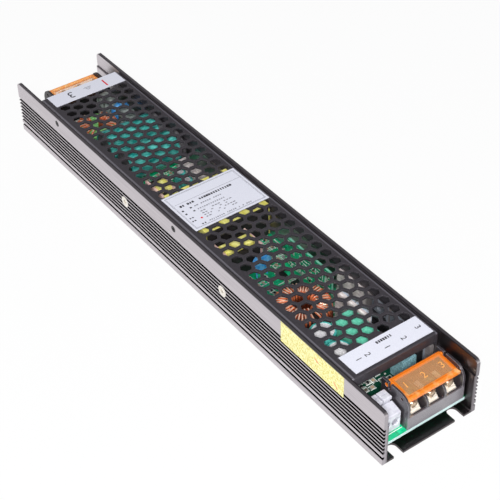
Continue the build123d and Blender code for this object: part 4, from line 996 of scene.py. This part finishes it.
# Name, tree, finish, slot, size of one, height of its middle, share of the points, clearance, how far
# the two of a pair are apart, and what is added to the seed.
SMALL_PARTS = (
    ("chip_bodies", BLOCKS, chip_part, "black_moulding", (1.3, 1.2, 0.6), 0.3, 0.6, 1.6, None, 0),
    ("chip_ends", BLOCKS, solder, "plated_copper", (0.7, 1.3, 0.5), 0.25, 0.6, 1.6, (1.9, 0, 0), 0),
    ("marks", BLOCKS, board_print, "white_plastic", (3.1, 0.55, 0.06), 0.03, 0.75, 1.6, (0, 2.1, 0), 0),
    ("joints", DOMES, solder, "plated_copper", (1.2, 1.2, 0.7), 0.1, 0.35, 0.9, None, 3),
)


def populate(prefix, neighbours, middle, outward, turned, wide, deep, seed):
    """Chip parts with bright ends, printed marks and loose solder joints on one face."""
    for name, tree, material, slot, part, rise, share, clearance, apart, more in SMALL_PARTS:
        grow(
            f"{prefix}_{name}", tree, slot, Middle=(middle + outward * rise) * MM, Turned=turned,
            Area=Vector((wide, deep, 0.0)) * MM, Columns=round(wide / SPACING),
            Rows=round(deep / SPACING), Jitter=JITTER * MM, Share=share, Clearance=clearance * MM,
            Obstacles=neighbours, Copies=2 if apart else 1, Apart=Vector(apart or (0, 0, 0)) * MM,
            Part=Vector(part) * MM, Seed=seed + more, Material=material,
        )
    bpy.data.objects.remove(neighbours)


margins = 2 * EDGE_MARGIN * Vector((1, 1, 1))
low, high = in_mm(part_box("main_board"))
high.x -= TERMINAL_STRIP
middle = Vector(((low.x + high.x) / 2, (low.y + high.y) / 2, BOARD_TOP))
size = high - low - margins
populate("board", round_board, middle, Vector((0, 0, 1)), (0.0, 0.0, 0.0), size.x, size.y, BOARD_SEED)

low, high = in_mm(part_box("control_board"))
middle = Vector(((low.x + high.x) / 2, low.y, (low.z + high.z) / 2))
size = high - low - margins
upright = (math.pi / 2, 0.0, 0.0)
populate("card", round_card, middle, Vector((0, -1, 0)), upright, size.x, size.z, CARD_SEED)

# %% [markdown]
# ## Print on the labels
# The labels of the real supply are printed with words and signs. A reusable part carries none of those, so
# the print is plain here: rows of short dashes where words stand, a thin frame, a few squares, and pole
# numerals. Each is a very thin raised plate on the film, which keeps its edges sharp at any distance.

# %% Print finishes
PRINT = 0.03
LABEL_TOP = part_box("cover_labels")[1][2] / MM
dark_print, grey_print, red_print = [
    finish(name, *tones, 0.5, size=0.3, bump=0.004)
    for name, tones in (
        ("dark_print", ((44, 42, 48), (62, 60, 66))),
        ("grey_print", ((112, 112, 120), (138, 138, 146))),
        ("red_print", ((214, 40, 52), (232, 60, 70))),
    )
]

# %% Tree: rows of dashes
SHORTEST_DASH = 0.5


def build_dash_tree():
    tree, given, result = new_tree(
        "Geometry", "printed_dashes", "Geometry", Vector="Middle Dash", Int="Rows Columns Seed",
        Float="Row_pitch Column_pitch Share", Material="Material",
    )
    plus, minus, times, _ = sums(tree)
    grid = put(
        tree, "GeometryNodeMeshGrid", Size_X=times(minus(given["Rows"], 1.0), given["Row_pitch"]),
        Size_Y=times(minus(given["Columns"], 1.0), given["Column_pitch"]), Vertices_X=given["Rows"],
        Vertices_Y=given["Columns"],
    )
    moved = put(tree, "GeometryNodeSetPosition", Geometry=grid.outputs[0], Offset=given["Middle"])
    gap = calc(tree, "GREATER_THAN", random_value(tree, "FLOAT", given["Seed"])[1], given["Share"])
    kept = put(tree, "GeometryNodeDeleteGeometry", Geometry=moved.outputs[0], Selection=gap)
    length = random_value(tree, "FLOAT", plus(given["Seed"], 1.0), in_2=SHORTEST_DASH, in_3=1.0)[1]
    stretch = put(tree, "ShaderNodeCombineXYZ", X=1.0, Y=length, Z=1.0)
    size = vector_calc(tree, "MULTIPLY", stretch.outputs[0], given["Dash"])
    bar = put(tree, "GeometryNodeMeshCube", Size=(1.0, 1.0, 1.0))
    placed = set_on(tree, kept.outputs[0], bar.outputs[0], Scale=size)
    end_with(tree, result, placed, given["Material"])
    return tree


DASHES = build_dash_tree()


def dashes(name, material, x, y, rows, pitch, dash, step, share, seed):
    """Rows of dashes along Y from y[0] to y[1], the first row at x."""
    columns = max(1, round((y[1] - y[0]) / step))
    middle = (x + (rows - 1) * pitch / 2, (y[0] + y[1]) / 2, LABEL_TOP + PRINT / 2)
    return grow(
        name, DASHES, "label_film", Middle=Vector(middle) * MM, Rows=rows, Row_pitch=pitch * MM,
        Columns=columns, Column_pitch=step * MM, Dash=Vector((*dash, PRINT)) * MM, Share=share, Seed=seed,
        Material=material,
    )


# %% Dashes in place of words
dashes("label_heading", dark_print, -8.9, (-18.0, 14.0), 1, 0.0, (1.4, 1.35), 1.4, 0.86, 3)
dashes("label_first_lines", grey_print, -5.5, (-10.8, 6.0), 2, 3.0, (0.7, 1.0), 1.25, 0.8, 4)
dashes("label_table_lines", grey_print, -0.2, (-10.4, 8.0), 4, 1.7, (0.6, 1.4), 1.7, 0.6, 9)
dashes("label_last_line", grey_print, 8.2, (-11.0, 14.5), 1, 0.0, (0.7, 0.9), 1.15, 0.85, 6)
dashes("output_label_heading", dark_print, 121.5, (-2.0, 6.6), 1, 0.0, (1.5, 1.0), 1.25, 1.0, 2)

# %% [markdown]
# ## Plates of paper and print
# A frame, a rule, a square or a sticker is a flat box a fraction of a millimetre thick, so a few corners
# are all it takes. The sticker on the wall reaches down over the first groove, where paper under tension
# stays flat, so it is one plane that stands free over the groove.

# %% Helpers for plates
def add_box(whole, low, high):
    """Box between two corners, given in millimetres."""
    made = bmesh.ops.create_cube(whole, size=1.0)["verts"]
    low, high = Vector(low) * MM, Vector(high) * MM
    bmesh.ops.scale(whole, vec=high - low, verts=made)
    bmesh.ops.translate(whole, vec=(low + high) / 2, verts=made)


def flat_plates(name, material, plates, level=LABEL_TOP):
    """Thin printed plates at one level, each given by its x and y limits in millimetres."""
    whole = bmesh.new()
    for x0, x1, y0, y1 in plates:
        add_box(whole, (x0, y0, level), (x1, y1, level + PRINT))
    return add_piece(name, mesh_of(name, whole, material))


# %% Sticker on the wall
STICKER_X = (86.0, 130.0)
STICKER_Z = (19.0, 30.7)

low, high = in_mm(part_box("side_sticker"))
whole = bmesh.new()
add_box(whole, (STICKER_X[0], low.y, STICKER_Z[0]), (STICKER_X[1], high.y, STICKER_Z[1]))
paper_mesh = mesh_of("sticker_sheet", whole, sticker_paper)
sticker_sheet = add_piece("sticker_sheet", paper_mesh)
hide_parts("side_sticker")

# %% Frame, rules and squares
OUTER_FRAME, INNER_FRAME = (-18.3, 9.9, -19.4, 21.6), (-17.8, 9.4, -18.9, 21.1)
RULE_X = -11.4
RULE, THIN_RULE = 0.16, 0.1
EARTH_X, EARTH_Y = -129.6, 2.4
EARTH_STEP, EARTH_BAR = 1.1, 0.35


def frame_plates(x0, x1, y0, y1, line):
    """Four plates that make a thin rectangle."""
    return [
        (x0, x1, y0, y0 + line), (x0, x1, y1 - line, y1),
        (x0, x0 + line, y0 + line, y1 - line), (x1 - line, x1, y0 + line, y1 - line),
    ]


def squares(places, side):
    return [(x - side / 2, x + side / 2, y - side / 2, y + side / 2) for x, y in places]


flat_plates("label_frame", grey_print, [
    *frame_plates(*OUTER_FRAME, RULE), *frame_plates(*INNER_FRAME, THIN_RULE),
    (RULE_X, RULE_X + RULE, -18.0, 20.8),
])
flat_plates("label_squares", dark_print, [
    *squares([(-5.3, -17.1), (-5.4, -12.4), (-2.3, -17.1), (-2.4, -12.4)], 1.0),
    *squares([(1.6, -17.4), (1.6, -16.0), (4.2, -17.6), (4.2, -16.2), (8.3, -14.6), (8.3, -13.2)], 0.8),
])
flat_plates("input_label_bars", grey_print, [
    (EARTH_X + EARTH_STEP * i, EARTH_X + EARTH_STEP * i + EARTH_BAR, EARTH_Y - half, EARTH_Y + half)
    for i, half in enumerate((2.2, 1.5, 0.8))
])

# %% Dot, and a line on the board's end
DOT_X, DOT_Y, DOT_RADIUS = 4.2, -12.5, 0.6
BOARD_LINE = (149.1, 149.5, -21.0, -9.8)

whole = bmesh.new()
bmesh.ops.create_cone(
    whole, cap_ends=True, segments=24, radius1=DOT_RADIUS * MM, radius2=DOT_RADIUS * MM,
    depth=PRINT * MM, matrix=Matrix.Translation(Vector((DOT_X, DOT_Y, LABEL_TOP + PRINT / 2)) * MM),
)
add_piece("label_red_dot", mesh_of("label_red_dot", whole, red_print))
flat_plates("board_end_line", board_print, [BOARD_LINE], BOARD_TOP)

# %% [markdown]
# ## Numerals
# A numeral could be drawn by hand, but Blender's text is quicker and has clean curves. Each digit is a
# text curve with a little depth. It is made into a mesh and turned so that it lies on its surface.

# %% Numerals on the labels
DIGIT_SHARE = 0.69
UP = Vector((0.0, 0.0, 1.0))
ALONG = Vector((1.0, 0.0, 0.0))
ACROSS = Vector((0.0, 1.0, 0.0))


def numerals(name, material, marks, tall, thick, body="chassis"):
    """Plain digits in one piece. Each mark is a digit, its place in metres, its normal and its right."""
    whole = bmesh.new()
    for digit, place, normal, right in marks:
        curve = bpy.data.curves.new(name, "FONT")
        curve.body = digit
        curve.align_x = "CENTER"
        curve.align_y = "CENTER"
        curve.size = tall / DIGIT_SHARE * MM
        curve.extrude = thick / 2 * MM
        mesh = plain_mesh(in_scene(name + "_maker", curve))
        up = Vector(normal).cross(Vector(right))
        turn = Matrix((right, up, normal)).transposed().to_4x4()
        mesh.transform(Matrix.Translation(Vector(place) + Vector(normal) * thick / 2 * MM) @ turn)
        whole.from_mesh(mesh)
    bmesh.ops.remove_doubles(whole, verts=whole.verts, dist=0.001 * MM)
    return add_piece(name, mesh_of(name, whole, material), body)


def label_marks(marks, right):
    return [(digit, Vector((x, y, LABEL_TOP)) * MM, UP, right) for digit, x, y in marks]


numerals("input_label_numeral", dark_print, label_marks([("3", -128.2, -8.5)], -ACROSS), 5.6, PRINT)
numerals("input_label_red_numeral", red_print, label_marks([("1", -127.8, 12.6)], -ACROSS), 6.4, PRINT)
output_marks = label_marks([("1", 124.7, -14.2), ("2", 124.7, -9.4)], ALONG)
output_marks += label_marks([("1", 126.3, 0.3), ("2", 126.3, 9.6), ("3", 124.7, 19.0)], ALONG)
numerals("output_label_numerals", dark_print, output_marks, 2.9, PRINT)

# %% [markdown]
# ## Raised numerals on the lids
# The clear lids have their pole numbers moulded on. A ray is dropped on each lid above its three poles, and
# the numeral is laid on the surface that it meets, with the slope of the lid.

# %% Numerals on the lids
POLE_PITCH = 10.2
LID_DIGIT = 3.4
LID_RAISED = 0.18
RAY_START = 50.0


def lid_numerals(lid, body, right):
    node = lid.replace("lid", "terminal_lid")
    low, high = map(Vector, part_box(node))
    surface = BVHTree.FromObject(parts[node], bpy.context.evaluated_depsgraph_get())
    marks = []
    for pole, digit in zip((-1, 0, 1), "123"):
        above = (low + high) / 2 + right * pole * POLE_PITCH * MM + UP * RAY_START * MM
        place, normal, _, _ = surface.ray_cast(above, -UP)
        marks.append((digit, place, normal, right))
    return numerals(lid + "_numerals", lid_relief, marks, LID_DIGIT, LID_RAISED, body)


lid_numerals("output_lid", "output_lid", ACROSS)
lid_numerals("input_lid", "input_lid", -ACROSS)

# %% [markdown]
# ## Studio
# The floor is pale and the background white, as in a catalogue. White is an emission of strength 1 seen
# only by camera, mirror and see-through rays, so it adds no light to the object. A part of the floor is
# left as an ordinary lit surface to keep a soft shadow. The upper half of the surroundings is darker for
# mirror rays, like a studio ceiling, and that is what makes the flat tops read black.

# %% Floor
FLOOR_HALF = 3.0
FLOOR_GREY = (0.86, 0.86, 0.86, 1.0)
WHITE = (1.0, 1.0, 1.0, 1.0)
WHITE_SHARE = 0.92


def shown_rays(tree):
    """1 for camera, mirror and see-through rays, and whether a ray is a mirror one."""
    path = tree.nodes.new("ShaderNodeLightPath").outputs
    seen = calc(tree, "MAXIMUM", path["Is Camera Ray"], path["Is Glossy Ray"])
    return calc(tree, "MAXIMUM", seen, path["Is Transmission Ray"]), path["Is Glossy Ray"]


floor_material = bpy.data.materials.new("studio_floor")
floor_material.use_nodes = True
tree = floor_material.node_tree
tree.nodes.clear()
lit = put(tree, "ShaderNodeBsdfDiffuse", Color=FLOOR_GREY)
white = put(tree, "ShaderNodeEmission", Color=WHITE, Strength=1.0)
share = calc(tree, "MULTIPLY", shown_rays(tree)[0], WHITE_SHARE)
both = put(tree, "ShaderNodeMixShader", in_0=share, in_1=lit.outputs[0], in_2=white.outputs[0])
put(tree, "ShaderNodeOutputMaterial", Surface=both.outputs[0])

mesh = bpy.data.meshes.new("studio_floor")
corners = [(x * FLOOR_HALF, y * FLOOR_HALF, 0.0) for x, y in ((-1, -1), (1, -1), (1, 1), (-1, 1))]
mesh.from_pydata(corners, [], [(0, 1, 2, 3)])
mesh.materials.append(floor_material)
floor = in_scene("studio_floor", mesh)
print("floor is", 2 * FLOOR_HALF, "m wide")

# %% Surroundings
CEILING = (0.13, 0.125, 0.13, 1.0)
CEILING_FADE = (0.10, 0.42)
ROOM_LIGHT = (0.22, 0.225, 0.24, 1.0)

world = bpy.data.worlds.new("studio")
bpy.context.scene.world = world
world.use_nodes = True
tree = world.node_tree
tree.nodes.clear()
height = parted(tree, tree.nodes.new("ShaderNodeTexCoord").outputs["Generated"])["Z"]
mirrored_room = mix_colour(tree, remap(tree, height, *CEILING_FADE), WHITE, CEILING)
shown, mirror_ray = shown_rays(tree)
room = mix_colour(tree, shown, ROOM_LIGHT, WHITE)
surroundings = mix_colour(tree, mirror_ray, room, mirrored_room)
background = put(tree, "ShaderNodeBackground", Color=surroundings, Strength=1.0)
put(tree, "ShaderNodeOutputWorld", Surface=background.outputs[0])

# %% Lamps
def softbox(name, place, size, power):
    """Square area lamp that faces the object."""
    light = bpy.data.lights.new(name, "AREA")
    light.size = size
    light.energy = power
    lamp = in_scene(name, light)
    lamp.location = place
    lamp.rotation_euler = (-Vector(place)).to_track_quat("-Z", "Y").to_euler()
    print(name, "gives", power, "W")


softbox("key_softbox", (0.79, -0.55, 0.83), 0.3, 18.0)
softbox("side_softbox", (-0.7, -0.35, 0.55), 0.35, 0.9)

# %% [markdown]
# ## Camera
# The camera stands where the photographer's did: to the right of the output end, about 40 degrees above
# the table, turned a little about its own axis. The lens is long, so the case narrows only slightly.

# %% Camera
CAMERA_AT = Vector((430.68, -284.00, 431.17)) * MM
CAMERA_AIM = Vector((22.99, 2.18, 15.0)) * MM
CAMERA_ROLL = math.radians(-1.451)
LENS_MM = 96.2
SENSOR_MM = 36.0

camera_data = bpy.data.cameras.new("camera")
camera_data.lens = LENS_MM
camera_data.sensor_width = SENSOR_MM
camera = in_scene("camera", camera_data)
camera.location = CAMERA_AT
facing = (CAMERA_AIM - CAMERA_AT).to_track_quat("-Z", "Y")
camera.rotation_mode = "QUATERNION"
camera.rotation_quaternion = facing @ Euler((0.0, 0.0, CAMERA_ROLL)).to_quaternion()
bpy.context.scene.camera = camera
bpy.context.scene.view_settings.view_transform = "Standard"
print("camera is", round((CAMERA_AIM - CAMERA_AT).length, 3), "m from its aim")
